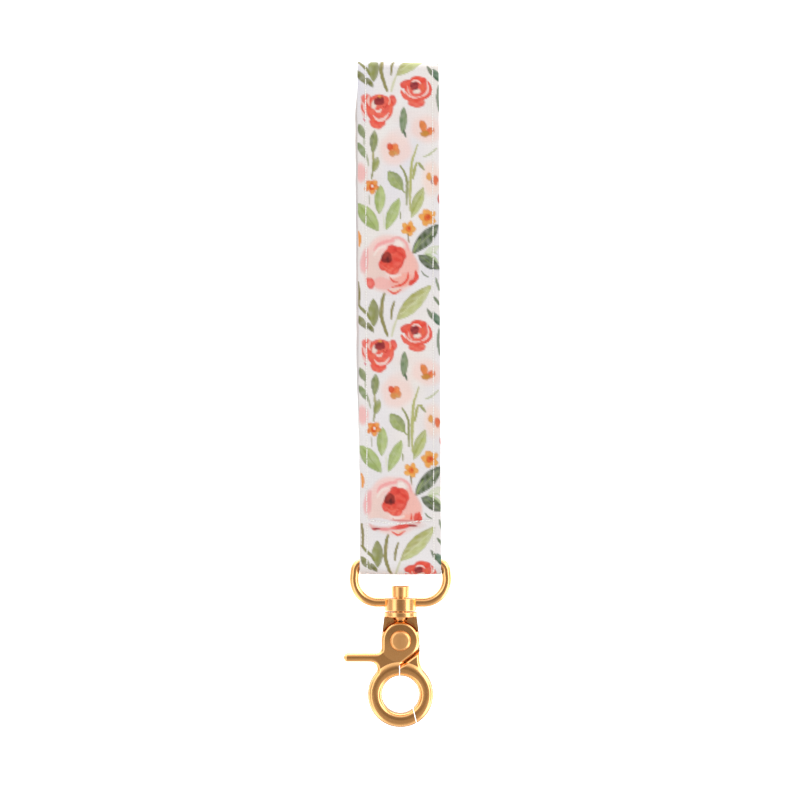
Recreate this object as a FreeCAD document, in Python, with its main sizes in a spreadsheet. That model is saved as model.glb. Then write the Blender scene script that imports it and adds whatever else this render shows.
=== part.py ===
import FreeCAD, Part
import Sketcher
import math
import os

# Wristlet keychain: a folded fabric band sewn shut round the bar of a D-shaped swivel loop,
# with a scissor-type snap hook turning below it. Millimetres, X across the band,
# Y from the front face to the back, Z up. The origin is the inside of the band's top fold.

doc = FreeCAD.newDocument("wristlet_keychain")
dims = doc.addObject("Spreadsheet::Sheet", "dims")

VALUES = [
    # fabric band
    ("band_width", 25.4),
    ("band_thick", 1.5),
    ("core_width", 24.2),
    ("core_thick", 0.8),
    ("core_slack", 0.04),
    ("crease_radius", 1.85),
    ("bulge_radius", 277.0),
    ("run_in_radius", 991.0),
    ("sewn_top_z", -139.6),
    ("sewn_gap", 0.1),
    ("flare_radius", 30.0),
    ("bar_fold_radius", 2.95),
    ("bar_z", -154.9),
    # sewing thread
    ("edge_row_x", 10.55),
    ("thread_wide", 0.45),
    ("thread_high", 0.22),
    ("thread_lift", 0.02),
    ("cross_row_z", -142.2),
    ("cross_row_half", 9.7),
    ("needle_pitch", 1.94),
    ("needle_count", 11),
    ("needle_radius", 0.2),
    ("needle_hole_radius", 0.25),
    ("needle_hole_deep", 12.0),
    # swivel loop
    ("bar_radius", 1.18),
    ("side_radius", 1.45),
    ("arm_radius", 1.32),
    ("corner_radius", 2.7),
    ("corner_x", 11.5),
    ("corner_z", -157.6),
    ("side_x", 14.42),
    ("bend_z", -160.0),
    ("bend_radius", 7.3),
    ("arm_z", -167.3),
    ("collar_radius", 4.95),
    ("collar_top_z", -165.9),
    ("collar_base_z", -169.9),
    ("collar_round", 0.35),
    ("swivel_bore_radius", 2.06),
    # swivel rivet
    ("swivel_shank_radius", 2.0),
    ("swivel_head_radius", 2.8),
    ("swivel_head_top_z", -162.1),
    ("swivel_head_under_z", -165.6),
    ("swivel_head_round", 0.55),
    ("swivel_head_taper", 0.15),
    ("swivel_tail_radius", 2.6),
    ("swivel_tail_taper", 0.5),
    ("swivel_tail_clear", 0.15),
    ("swivel_tail_z", -172.75),
    # hook body and trigger
    ("flange_radius", 5.1),
    ("flange_top_z", -170.2),
    ("flange_base_z", -171.8),
    ("flange_round", 0.3),
    ("column_half", 5.1),
    ("shoulder_half", 6.0),
    ("half_depth", 2.9),
    ("plate_gap", 0.05),
    ("pivot_z", -179.1),
    ("boss_radius", 6.0),
    ("boss_clear", 0.2),
    ("diagonal_deg", 36.87),
    ("cavity_half", 4.4),
    ("cavity_base_z", -176.2),
    ("cavity_wall", 0.9),
    ("cavity_inset", 0.3),
    ("ring_z", -195.9),
    ("ring_radius", 10.2),
    ("hole_radius", 5.8),
    ("top_seam_x", -0.3),
    ("seam_half_gap", 0.1),
    ("tip_seam_x", 2.67),
    ("tip_seam_deg", 13.74),
    ("tip_seam_gap", 0.3),
    ("lever_reach", 17.7),
    ("lever_top_z", -183.1),
    ("lever_base_z", -185.7),
    ("lever_root_upper", 1.6),
    ("lever_root_lower", 2.2),
    ("neck_round", 6.0),
    ("rear_step", 0.9),
    ("edge_round", 1.2),
    # pivot rivet
    ("pivot_shank_radius", 1.6),
    ("pivot_bore_radius", 1.66),
    ("pivot_head_radius", 3.2),
    ("pivot_head_high", 0.95),
    ("pivot_tail_radius", 2.6),
    ("pivot_tail_high", 0.6),
    ("pivot_head_lift", 0.05),
    # torsion spring
    ("spring_wire_radius", 0.22),
    ("spring_coil_radius", 2.55),
    ("spring_pitch", 0.4),
    ("spring_turns", 4),
    ("spring_start_y", -1.62),
    ("spring_leg", 1.1),
    ("spring_pocket_radius", 3.3),
    ("spring_pocket_deep", 1.95),
    ("spring_slot_radius", 4.4),
    ("spring_slot_deg", 48.0),
    ("spring_anchor_y", 1.2),
    ("spring_anchor_clear", 0.04),
]

for row, (name, number) in enumerate(VALUES, start=1):
    dims.set("A%d" % row, name)
    dims.set("B%d" % row, str(number))
    dims.setAlias("B%d" % row, name)
doc.recompute()


def value(name):
    return float(dims.get(name))


def plane(body, role):
    for item in body.Origin.OriginFeatures:
        if item.Role == role:
            return item
    raise RuntimeError("no plane " + role)


def new_body(name):
    body = doc.addObject("PartDesign::Body", name)
    body.Label = name
    return body


def new_sketch(body, name, role, offset=None):
    sketch = body.newObject("Sketcher::SketchObject", name)
    sketch.AttachmentSupport = [(plane(body, role), "")]
    sketch.MapMode = "FlatFace"
    if offset is not None:
        sketch.setExpression("AttachmentOffset.Base.z", offset)
    return sketch


def driven(sketch, constraint, expression):
    """Add one dimensional constraint and tie it to the dimension sheet."""
    index = sketch.addConstraint(constraint)
    sketch.setExpression("Constraints[%d]" % index, expression)
    return index


def vec(x, y):
    return FreeCAD.Vector(x, y, 0.0)


def arc(sketch, centre, radius, start_deg, end_deg):
    """Arc drawn anticlockwise from start to end."""
    circle = Part.Circle(centre, FreeCAD.Vector(0, 0, 1), radius)
    ends = (math.radians(start_deg), math.radians(end_deg))
    return sketch.addGeometry(Part.ArcOfCircle(circle, ends[0], ends[1]), False)


def line(sketch, start, end):
    return sketch.addGeometry(Part.LineSegment(start, end), False)


def rectangle(sketch, left, base, right, top, across_exprs, base_expr, top_expr):
    """Upright rectangle whose left and right sides follow the pair of expressions given."""
    sides = [
        line(sketch, vec(left, base), vec(right, base)),
        line(sketch, vec(right, base), vec(right, top)),
        line(sketch, vec(right, top), vec(left, top)),
        line(sketch, vec(left, top), vec(left, base)),
    ]
    for k in range(4):
        sketch.addConstraint(Sketcher.Constraint("Coincident", sides[k], 2, sides[(k + 1) % 4], 1))
    for k in (0, 2):
        sketch.addConstraint(Sketcher.Constraint("Horizontal", sides[k]))
    for k in (1, 3):
        sketch.addConstraint(Sketcher.Constraint("Vertical", sides[k]))
    driven(sketch, Sketcher.Constraint("DistanceX", -1, 1, sides[0], 1, left), across_exprs[0])
    driven(sketch, Sketcher.Constraint("DistanceX", -1, 1, sides[0], 2, right), across_exprs[1])
    driven(sketch, Sketcher.Constraint("DistanceY", -1, 1, sides[0], 1, base), base_expr)
    driven(sketch, Sketcher.Constraint("DistanceY", -1, 1, sides[2], 1, top), top_expr)


def band_path(body, name):
    """Side view of the band's middle line: crease, two bulging runs, sewn run, fold round the bar."""
    sketch = new_sketch(body, name, "YZ_Plane")
    thick = value("band_thick")
    crease = value("crease_radius")
    bulge = value("bulge_radius")
    run_in = value("run_in_radius")
    flare = value("flare_radius")
    fold = value("bar_fold_radius")
    bar = value("bar_z")
    sewn_y = 0.5 * (thick + value("sewn_gap"))
    crease_z = 0.5 * thick - crease
    # opening angle at the crease and closing angle lower down, found by halving
    low = 0.0
    high = math.radians(20.0)
    for _ in range(60):
        opening = 0.5 * (low + high)
        out = crease * math.cos(opening) + bulge * (1.0 - math.cos(opening))
        closing = math.acos(min(1.0, 1.0 - (out - sewn_y) / (bulge + run_in)))
        reach = (bulge - crease) * math.sin(opening) + (bulge + run_in) * math.sin(closing)
        if reach < crease_z - value("sewn_top_z"):
            low = opening
        else:
            high = opening
    turn = math.acos((sewn_y + flare) / (fold + flare))
    tilt_open = math.degrees(opening)
    tilt_close = math.degrees(closing)
    tilt_turn = math.degrees(turn)
    bulge_y = -crease * math.cos(opening) + bulge * math.cos(opening)
    bulge_z = crease_z + (crease - bulge) * math.sin(opening)
    run_y = sewn_y + run_in
    run_z = value("sewn_top_z")
    flare_z = bar + (fold + flare) * math.sin(turn)
    top = arc(sketch, vec(0, crease_z), crease, tilt_open, 180.0 - tilt_open)
    left = [
        arc(sketch, vec(bulge_y, bulge_z), bulge, 180.0 - tilt_open, 180.0 + tilt_close),
        arc(sketch, vec(-run_y, run_z), run_in, 0.0, tilt_close),
        line(sketch, vec(-sewn_y, run_z), vec(-sewn_y, flare_z)),
        arc(sketch, vec(-sewn_y - flare, flare_z), flare, -tilt_turn, 0.0),
    ]
    base = arc(sketch, vec(0, bar), fold, 180.0 - tilt_turn, 360.0 + tilt_turn)
    right = [
        arc(sketch, vec(-bulge_y, bulge_z), bulge, -tilt_close, tilt_open),
        arc(sketch, vec(run_y, run_z), run_in, 180.0 - tilt_close, 180.0),
        line(sketch, vec(sewn_y, run_z), vec(sewn_y, flare_z)),
        arc(sketch, vec(sewn_y + flare, flare_z), flare, 180.0, 180.0 + tilt_turn),
    ]
    # end numbers: 1 is the start of a segment and 2 its end, arcs run anticlockwise
    joints = [
        (top, 2, left[0], 1),
        (left[0], 2, left[1], 2),
        (left[1], 1, left[2], 1),
        (left[2], 2, left[3], 2),
        (left[3], 1, base, 1),
        (top, 1, right[0], 2),
        (right[0], 1, right[1], 1),
        (right[1], 2, right[2], 1),
        (right[2], 2, right[3], 1),
        (right[3], 2, base, 2),
    ]
    for first, first_end, second, second_end in joints:
        sketch.addConstraint(Sketcher.Constraint("Tangent", first, first_end, second, second_end))
    for sides in (left, right):
        driven(sketch, Sketcher.Constraint("Radius", sides[0], bulge), "dims.bulge_radius")
        driven(sketch, Sketcher.Constraint("Radius", sides[1], run_in), "dims.run_in_radius")
        driven(sketch, Sketcher.Constraint("Radius", sides[3], flare), "dims.flare_radius")
        sketch.addConstraint(Sketcher.Constraint("Vertical", sides[2]))
        driven(sketch, Sketcher.Constraint("DistanceY", -1, 1, sides[2], 1, run_z), "dims.sewn_top_z")
    half = "(dims.band_thick + dims.sewn_gap) / 2"
    driven(sketch, Sketcher.Constraint("DistanceX", -1, 1, right[2], 1, sewn_y), half)
    driven(sketch, Sketcher.Constraint("DistanceX", left[2], 1, -1, 1, sewn_y), half)
    driven(sketch, Sketcher.Constraint("Radius", top, crease), "dims.crease_radius")
    driven(sketch, Sketcher.Constraint("Radius", base, fold), "dims.bar_fold_radius")
    sketch.addConstraint(Sketcher.Constraint("PointOnObject", top, 3, -2))
    sketch.addConstraint(Sketcher.Constraint("PointOnObject", base, 3, -2))
    crease_expr = "dims.band_thick / 2 - dims.crease_radius"
    driven(sketch, Sketcher.Constraint("DistanceY", -1, 1, top, 3, crease_z), crease_expr)
    driven(sketch, Sketcher.Constraint("DistanceY", -1, 1, base, 3, bar), "dims.bar_z")
    return sketch


def pipe(body, kind, name, profile, spine):
    feature = body.newObject("PartDesign::" + kind, name)
    feature.Profile = profile
    feature.Spine = (spine, [])
    feature.Mode = "Standard"
    feature.Transition = "Transformed"
    body.Tip = feature
    return feature


def band_section(body, name, across, thick, across_exprs, thick_expr, lift=0.0, lift_expr="0"):
    """Cross-section of something that follows the band, standing at the top of the crease."""
    sketch = new_sketch(body, name, "XZ_Plane")
    middle = 0.5 * value("band_thick")
    low = middle - 0.5 * thick + lift
    high = middle + 0.5 * thick + lift
    low_expr = "dims.band_thick / 2 - (%s) / 2 + %s" % (thick_expr, lift_expr)
    high_expr = "dims.band_thick / 2 + (%s) / 2 + %s" % (thick_expr, lift_expr)
    rectangle(sketch, across[0], low, across[1], high, across_exprs, low_expr, high_expr)
    return sketch


def needle_holes(body, name):
    """Row of round holes through both layers of the band along the cross row."""
    sketch = new_sketch(body, name + "_sketch", "XZ_Plane")
    half = value("cross_row_half")
    z = value("cross_row_z")
    radius = value("needle_hole_radius")
    circle = sketch.addGeometry(Part.Circle(vec(-half, z), FreeCAD.Vector(0, 0, 1), radius), False)
    driven(sketch, Sketcher.Constraint("Radius", circle, radius), "dims.needle_hole_radius")
    driven(sketch, Sketcher.Constraint("DistanceX", circle, 3, -1, 1, half), "dims.cross_row_half")
    driven(sketch, Sketcher.Constraint("DistanceY", -1, 1, circle, 3, z), "dims.cross_row_z")
    hole = body.newObject("PartDesign::Pocket", name)
    hole.Profile = sketch
    hole.Midplane = True
    hole.setExpression("Length", "dims.needle_hole_deep")
    body.Tip = hole
    row = body.newObject("PartDesign::LinearPattern", name + "_row")
    row.Originals = [hole]
    row.Direction = (sketch, ["H_Axis"])
    row.setExpression("Length", "dims.needle_pitch * (dims.needle_count - 1)")
    row.setExpression("Occurrences", "dims.needle_count")
    body.Tip = row
    return row


def make_cover():
    """Printed cotton wrapped round the core, open only at the needle holes."""
    body = new_body("printed_cover")
    spine = band_path(body, "cover_path")
    wide = 0.5 * value("band_width")
    half_expr = ("-dims.band_width / 2", "dims.band_width / 2")
    outer = band_section(
        body, "cover_section", (-wide, wide), value("band_thick"), half_expr, "dims.band_thick"
    )
    pipe(body, "AdditivePipe", "cover_band", outer, spine)
    slot = 0.5 * value("core_width") + value("core_slack")
    slot_expr = ("-dims.core_width / 2 - dims.core_slack", "dims.core_width / 2 + dims.core_slack")
    inner = band_section(
        body,
        "cover_sleeve_section",
        (-slot, slot),
        value("core_thick") + 2.0 * value("core_slack"),
        slot_expr,
        "dims.core_thick + 2 * dims.core_slack",
    )
    pipe(body, "SubtractivePipe", "cover_sleeve", inner, spine)
    needle_holes(body, "cover_needle")
    return body


def make_core():
    """Stiffening web inside the cover."""
    body = new_body("stiffening_core")
    spine = band_path(body, "core_path")
    wide = 0.5 * value("core_width")
    half_expr = ("-dims.core_width / 2", "dims.core_width / 2")
    section = band_section(
        body, "core_section", (-wide, wide), value("core_thick"), half_expr, "dims.core_thick"
    )
    pipe(body, "AdditivePipe", "core_band", section, spine)
    needle_holes(body, "core_needle")
    return body


def make_edge_row(name, side):
    """One row of topstitching: a thread following the outside of the band near one edge."""
    body = new_body(name)
    spine = band_path(body, name + "_path")
    middle = side * value("edge_row_x")
    half = 0.5 * value("thread_wide")
    sign = "" if side > 0 else "-"
    left_expr = sign + "dims.edge_row_x - dims.thread_wide / 2"
    right_expr = sign + "dims.edge_row_x + dims.thread_wide / 2"
    lift = 0.5 * (value("band_thick") + value("thread_high")) + value("thread_lift")
    section = band_section(
        body,
        name + "_section",
        (middle - half, middle + half),
        value("thread_high"),
        (left_expr, right_expr),
        "dims.thread_high",
        lift,
        "(dims.band_thick + dims.thread_high) / 2 + dims.thread_lift",
    )
    pipe(body, "AdditivePipe", name + "_thread", section, spine)
    return body


def slab(name, x0, x1, y0, y1, z0, z1):
    """Box given by its six faces, each an expression."""
    box = doc.addObject("Part::Box", name)
    box.setExpression("Length", "(%s) - (%s)" % (x1, x0))
    box.setExpression("Width", "(%s) - (%s)" % (y1, y0))
    box.setExpression("Height", "(%s) - (%s)" % (z1, z0))
    box.setExpression("Placement.Base.x", x0)
    box.setExpression("Placement.Base.y", y0)
    box.setExpression("Placement.Base.z", z0)
    return box


def disc(name, radius, x, z, y0, y1):
    """Cylinder lying along Y."""
    rod = doc.addObject("Part::Cylinder", name)
    rod.Placement = FreeCAD.Placement(
        FreeCAD.Vector(0, 0, 0), FreeCAD.Rotation(FreeCAD.Vector(1, 0, 0), -90)
    )
    rod.setExpression("Radius", radius)
    rod.setExpression("Height", "(%s) - (%s)" % (y1, y0))
    rod.setExpression("Placement.Base.x", x)
    rod.setExpression("Placement.Base.y", y0)
    rod.setExpression("Placement.Base.z", z)
    return rod


def turned_slab(name, angle, x, z, y0, y1, along, beyond):
    """Box turned about Y, with its near corner at x, z."""
    box = doc.addObject("Part::Box", name)
    box.Placement = FreeCAD.Placement(
        FreeCAD.Vector(0, 0, 0), FreeCAD.Rotation(FreeCAD.Vector(0, 1, 0), 10)
    )
    box.setExpression("Placement.Rotation.Angle", angle)
    box.Length = along
    box.Height = beyond
    box.setExpression("Width", "(%s) - (%s)" % (y1, y0))
    box.setExpression("Placement.Base.x", x)
    box.setExpression("Placement.Base.y", y0)
    box.setExpression("Placement.Base.z", z)
    return box


def fuse(name, shapes):
    joined = doc.addObject("Part::MultiFuse", name)
    joined.Shapes = shapes
    joined.Refine = True
    return joined


def cut(name, base, tools):
    """Take each tool from the base in turn."""
    result = base
    for number, tool in enumerate(tools, start=1):
        step = doc.addObject("Part::Cut", "%s_%d" % (name, number))
        step.Base = result
        step.Tool = tool
        step.Refine = True
        result = step
    return result


def common(name, first, second):
    """Material shared by two shapes."""
    both = doc.addObject("Part::Common", name)
    both.Base = first
    both.Tool = second
    return both


def make_cross_row():
    """Bar-tack row: thread lying on the front and back faces, joined through the needle holes."""
    rows = []
    for side, sign in (("front", "-"), ("back", "")):
        near = "(dims.band_thick * 2 + dims.sewn_gap) / 2 + dims.thread_lift"
        inner = "%s(%s)" % (sign, near)
        outer = "%s(%s + dims.thread_high)" % (sign, near)
        low, high = (outer, inner) if side == "front" else (inner, outer)
        rows.append(
            slab(
                "cross_row_" + side,
                "-dims.cross_row_half - dims.thread_wide / 2",
                "dims.cross_row_half + dims.thread_wide / 2",
                low,
                high,
                "dims.cross_row_z - dims.thread_wide / 2",
                "dims.cross_row_z + dims.thread_wide / 2",
            )
        )
    reach = "(dims.band_thick + dims.sewn_gap / 2 + dims.thread_lift * 2)"
    for number in range(int(value("needle_count"))):
        x = "-dims.cross_row_half + dims.needle_pitch * %d" % number
        leg = disc(
            "cross_leg_%d" % number, "dims.needle_radius", x, "dims.cross_row_z", "-" + reach, reach
        )
        rows.append(leg)
    row = fuse("cross_stitch", rows)
    row.Label = "cross_stitch"
    return row


def loop_path(body):
    """Right half of the D: from the middle of the bar down to the collar."""
    sketch = new_sketch(body, "loop_path", "XZ_Plane")
    corner = value("corner_radius")
    corner_x = value("corner_x")
    corner_z = value("corner_z")
    bend = value("bend_radius")
    bend_z = value("bend_z")
    side_x = value("side_x")
    bar_z = corner_z + corner
    arm_z = bend_z - bend
    bend_x = side_x - bend
    bar = line(sketch, vec(0, bar_z), vec(corner_x, bar_z))
    knee = arc(sketch, vec(corner_x, corner_z), corner, 0.0, 90.0)
    side = line(sketch, vec(corner_x + corner, corner_z), vec(side_x, bend_z))
    sweep = arc(sketch, vec(bend_x, bend_z), bend, -90.0, 0.0)
    arm = line(sketch, vec(bend_x, arm_z), vec(0, arm_z))
    sketch.addConstraint(Sketcher.Constraint("Tangent", bar, 2, knee, 2))
    sketch.addConstraint(Sketcher.Constraint("Tangent", knee, 1, side, 1))
    sketch.addConstraint(Sketcher.Constraint("Tangent", side, 2, sweep, 2))
    sketch.addConstraint(Sketcher.Constraint("Tangent", sweep, 1, arm, 1))
    sketch.addConstraint(Sketcher.Constraint("Horizontal", bar))
    sketch.addConstraint(Sketcher.Constraint("PointOnObject", bar, 1, -2))
    sketch.addConstraint(Sketcher.Constraint("Horizontal", arm))
    sketch.addConstraint(Sketcher.Constraint("PointOnObject", arm, 2, -2))
    driven(sketch, Sketcher.Constraint("DistanceY", -1, 1, bar, 1, bar_z), "dims.bar_z")
    driven(sketch, Sketcher.Constraint("Radius", knee, corner), "dims.corner_radius")
    driven(sketch, Sketcher.Constraint("DistanceX", -1, 1, knee, 3, corner_x), "dims.corner_x")
    driven(sketch, Sketcher.Constraint("Radius", sweep, bend), "dims.bend_radius")
    bend_expr = "dims.side_x - dims.bend_radius"
    driven(sketch, Sketcher.Constraint("DistanceX", -1, 1, sweep, 3, bend_x), bend_expr)
    driven(sketch, Sketcher.Constraint("DistanceY", -1, 1, sweep, 3, bend_z), "dims.bend_z")
    return sketch


def ring_section(body, name, role, x, y, radius_expr, x_expr, y_expr, offset=None):
    """Round cross-section of the loop's wire."""
    sketch = new_sketch(body, name, role, offset)
    radius = value("arm_radius")
    circle = sketch.addGeometry(Part.Circle(vec(x, y), FreeCAD.Vector(0, 0, 1), radius), False)
    driven(sketch, Sketcher.Constraint("Radius", circle, radius), radius_expr)
    if x_expr is None:
        sketch.addConstraint(Sketcher.Constraint("PointOnObject", circle, 3, -2))
    else:
        driven(sketch, Sketcher.Constraint("DistanceX", -1, 1, circle, 3, x), x_expr)
    if y_expr is None:
        sketch.addConstraint(Sketcher.Constraint("PointOnObject", circle, 3, -1))
    else:
        driven(sketch, Sketcher.Constraint("DistanceY", -1, 1, circle, 3, y), y_expr)
    return sketch


def lathe(body, name, points, expressions, subtract=False):
    """Turn a closed profile, radius across and height up, about the Z axis."""
    sketch = new_sketch(body, name + "_sketch", "XZ_Plane")
    count = len(points)
    edges = []
    for k in range(count):
        start = points[k]
        end = points[(k + 1) % count]
        edges.append(line(sketch, vec(start[0], start[1]), vec(end[0], end[1])))
    for k in range(count):
        sketch.addConstraint(Sketcher.Constraint("Coincident", edges[k], 2, edges[(k + 1) % count], 1))
    for k in range(count):
        across, up = expressions[k]
        if across is None:
            sketch.addConstraint(Sketcher.Constraint("PointOnObject", edges[k], 1, -2))
        else:
            driven(sketch, Sketcher.Constraint("DistanceX", -1, 1, edges[k], 1, points[k][0]), across)
        driven(sketch, Sketcher.Constraint("DistanceY", -1, 1, edges[k], 1, points[k][1]), up)
    kind = "PartDesign::Groove" if subtract else "PartDesign::Revolution"
    feature = body.newObject(kind, name)
    feature.Profile = sketch
    feature.ReferenceAxis = (sketch, ["V_Axis"])
    feature.Angle = 360.0
    body.Tip = feature
    return feature


def round_edges(body, name, radius_expr, wanted):
    """Fillet the edges of the body's tip that the test picks out."""
    doc.recompute()
    tip = body.Tip
    names = []
    for number, edge in enumerate(tip.Shape.Edges, start=1):
        if wanted(edge):
            names.append("Edge%d" % number)
    feature = body.newObject("PartDesign::Fillet", name)
    feature.Base = (tip, names)
    feature.setExpression("Radius", radius_expr)
    body.Tip = feature
    return feature


def is_rim(edge, radius, z):
    """True for a full circle about Z of the given radius and height."""
    if edge.Curve.TypeId != "Part::GeomCircle":
        return False
    near = abs(edge.Curve.Radius - radius) < 0.01
    return near and abs(edge.Curve.Center.z - z) < 0.01 and abs(edge.Curve.Axis.z) > 0.99


def make_loop():
    """D-shaped swivel loop: tapered wire sides and bar, with the turning collar at its foot."""
    body = new_body("swivel_loop")
    path = loop_path(body)
    bar = ring_section(
        body, "loop_bar_section", "YZ_Plane", 0.0, value("bar_z"), "dims.bar_radius", None, "dims.bar_z"
    )
    side = ring_section(
        body,
        "loop_side_section",
        "XY_Plane",
        value("side_x"),
        0.0,
        "dims.side_radius",
        "dims.side_x",
        None,
        "dims.bend_z",
    )
    arm = ring_section(
        body, "loop_arm_section", "YZ_Plane", 0.0, value("arm_z"), "dims.arm_radius", None, "dims.arm_z"
    )
    wire = body.newObject("PartDesign::AdditivePipe", "loop_wire")
    wire.Profile = bar
    wire.Spine = (path, [])
    wire.Mode = "Standard"
    wire.Transformation = "Multisection"
    wire.Sections = [side, arm]
    body.Tip = wire
    twin = body.newObject("PartDesign::Mirrored", "loop_wire_mirrored")
    twin.Originals = [wire]
    twin.MirrorPlane = (plane(body, "YZ_Plane"), [""])
    body.Tip = twin
    rim = value("collar_radius")
    top = value("collar_top_z")
    low = value("collar_base_z")
    lathe(
        body,
        "collar",
        [(0.0, low), (rim, low), (rim, top), (0.0, top)],
        [
            (None, "dims.collar_base_z"),
            ("dims.collar_radius", "dims.collar_base_z"),
            ("dims.collar_radius", "dims.collar_top_z"),
            (None, "dims.collar_top_z"),
        ],
    )
    bore = value("swivel_bore_radius")
    lathe(
        body,
        "collar_bore",
        [(0.0, low - 1.0), (bore, low - 1.0), (bore, top + 1.0), (0.0, top + 1.0)],
        [
            (None, "dims.collar_base_z - 1"),
            ("dims.swivel_bore_radius", "dims.collar_base_z - 1"),
            ("dims.swivel_bore_radius", "dims.collar_top_z + 1"),
            (None, "dims.collar_top_z + 1"),
        ],
        subtract=True,
    )

    def collar_rims(edge):
        return is_rim(edge, rim, top) or is_rim(edge, rim, low)

    round_edges(body, "collar_rounded", "dims.collar_round", collar_rims)
    return body


def make_swivel_rivet():
    """Headed pin through the collar, its lower end peened under the hook's flange."""
    body = new_body("swivel_rivet")
    head = value("swivel_head_radius")
    shank = value("swivel_shank_radius")
    tail = value("swivel_tail_radius")
    top = value("swivel_head_top_z")
    under = value("swivel_head_under_z")
    seat = value("flange_base_z")
    low = value("swivel_tail_z")
    lathe(
        body,
        "swivel_pin",
        [
            (0.0, top),
            (head, top),
            (head - value("swivel_head_taper"), under),
            (shank, under),
            (shank, seat),
            (tail, seat),
            (tail - value("swivel_tail_taper"), low),
            (0.0, low),
        ],
        [
            (None, "dims.swivel_head_top_z"),
            ("dims.swivel_head_radius", "dims.swivel_head_top_z"),
            ("dims.swivel_head_radius - dims.swivel_head_taper", "dims.swivel_head_under_z"),
            ("dims.swivel_shank_radius", "dims.swivel_head_under_z"),
            ("dims.swivel_shank_radius", "dims.flange_base_z"),
            ("dims.swivel_tail_radius", "dims.flange_base_z"),
            ("dims.swivel_tail_radius - dims.swivel_tail_taper", "dims.swivel_tail_z"),
            (None, "dims.swivel_tail_z"),
        ],
    )

    def head_rim(edge):
        return is_rim(edge, head, top)

    round_edges(body, "swivel_head_rounded", "dims.swivel_head_round", head_rim)
    return body


FRONT = "-dims.half_depth"
BACK = "dims.half_depth"
FRONT_INNER = "-dims.plate_gap"
BACK_INNER = "dims.plate_gap"
# cutting shapes reach clear of the hook: this far in front and behind, and this far to the sides
CLEAR_FRONT = "-5"
CLEAR_BACK = "5"
TOOL_HALF = 14
TOOL_LONG = 28.0
TOOL_HIGH = 30.0
TIP_TOOL_REACH = 13


def beyond_line(name, distance, side, y0, y1):
    """Everything farther from the pivot than a slanted line, below right (1) or below left (-1)."""
    shift = side * TOOL_HALF
    x = "%d * (%s) * sin(dims.diagonal_deg) + %d * cos(dims.diagonal_deg)" % (side, distance, TOOL_HALF)
    lift = "%d * sin(dims.diagonal_deg)" % shift
    z = "dims.pivot_z - (%s) * cos(dims.diagonal_deg) + %s" % (distance, lift)
    angle = "180 - %d * dims.diagonal_deg" % side
    return turned_slab(name, angle, x, z, y0, y1, TOOL_LONG, TOOL_HIGH)


def within_line(name, distance, side, y0, y1):
    """Everything nearer to the pivot than a slanted line, below right (1) or below left (-1)."""
    shift = side * TOOL_HALF
    x = "%d * (%s) * sin(dims.diagonal_deg) - %d * cos(dims.diagonal_deg)" % (side, distance, TOOL_HALF)
    drop = "%d * sin(dims.diagonal_deg)" % shift
    z = "dims.pivot_z - (%s) * cos(dims.diagonal_deg) - %s" % (distance, drop)
    angle = "-%d * dims.diagonal_deg" % side
    return turned_slab(name, angle, x, z, y0, y1, TOOL_LONG, TOOL_HALF)


def seam_beyond(name, gap, y0, y1):
    """Everything to the right of the jaw-tip seam, below the hole's centre."""
    x = "dims.tip_seam_x + %s + %d * sin(dims.tip_seam_deg)" % (gap, TIP_TOOL_REACH)
    z = "dims.ring_z - %d * cos(dims.tip_seam_deg)" % TIP_TOOL_REACH
    return turned_slab(name, "-dims.tip_seam_deg", x, z, y0, y1, TOOL_HALF, TIP_TOOL_REACH)


def face_edges(shape, y, skip):
    """Outline edges lying in one flat face across Y, leaving out those the test skips."""
    found = []
    for number, edge in enumerate(shape.Edges, start=1):
        box = edge.BoundBox
        if abs(box.YMin - y) > 1e-4 or abs(box.YMax - y) > 1e-4:
            continue
        if skip(edge):
            continue
        found.append(number)
    return found


def rounded(name, base, groups):
    """Part fillet with one radius per group of edge numbers."""
    feature = doc.addObject("Part::Fillet", name)
    feature.Base = base
    entries = []
    for numbers, radius in groups:
        for number in numbers:
            entries.append((number, radius, radius))
    feature.Edges = entries
    return feature


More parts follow.
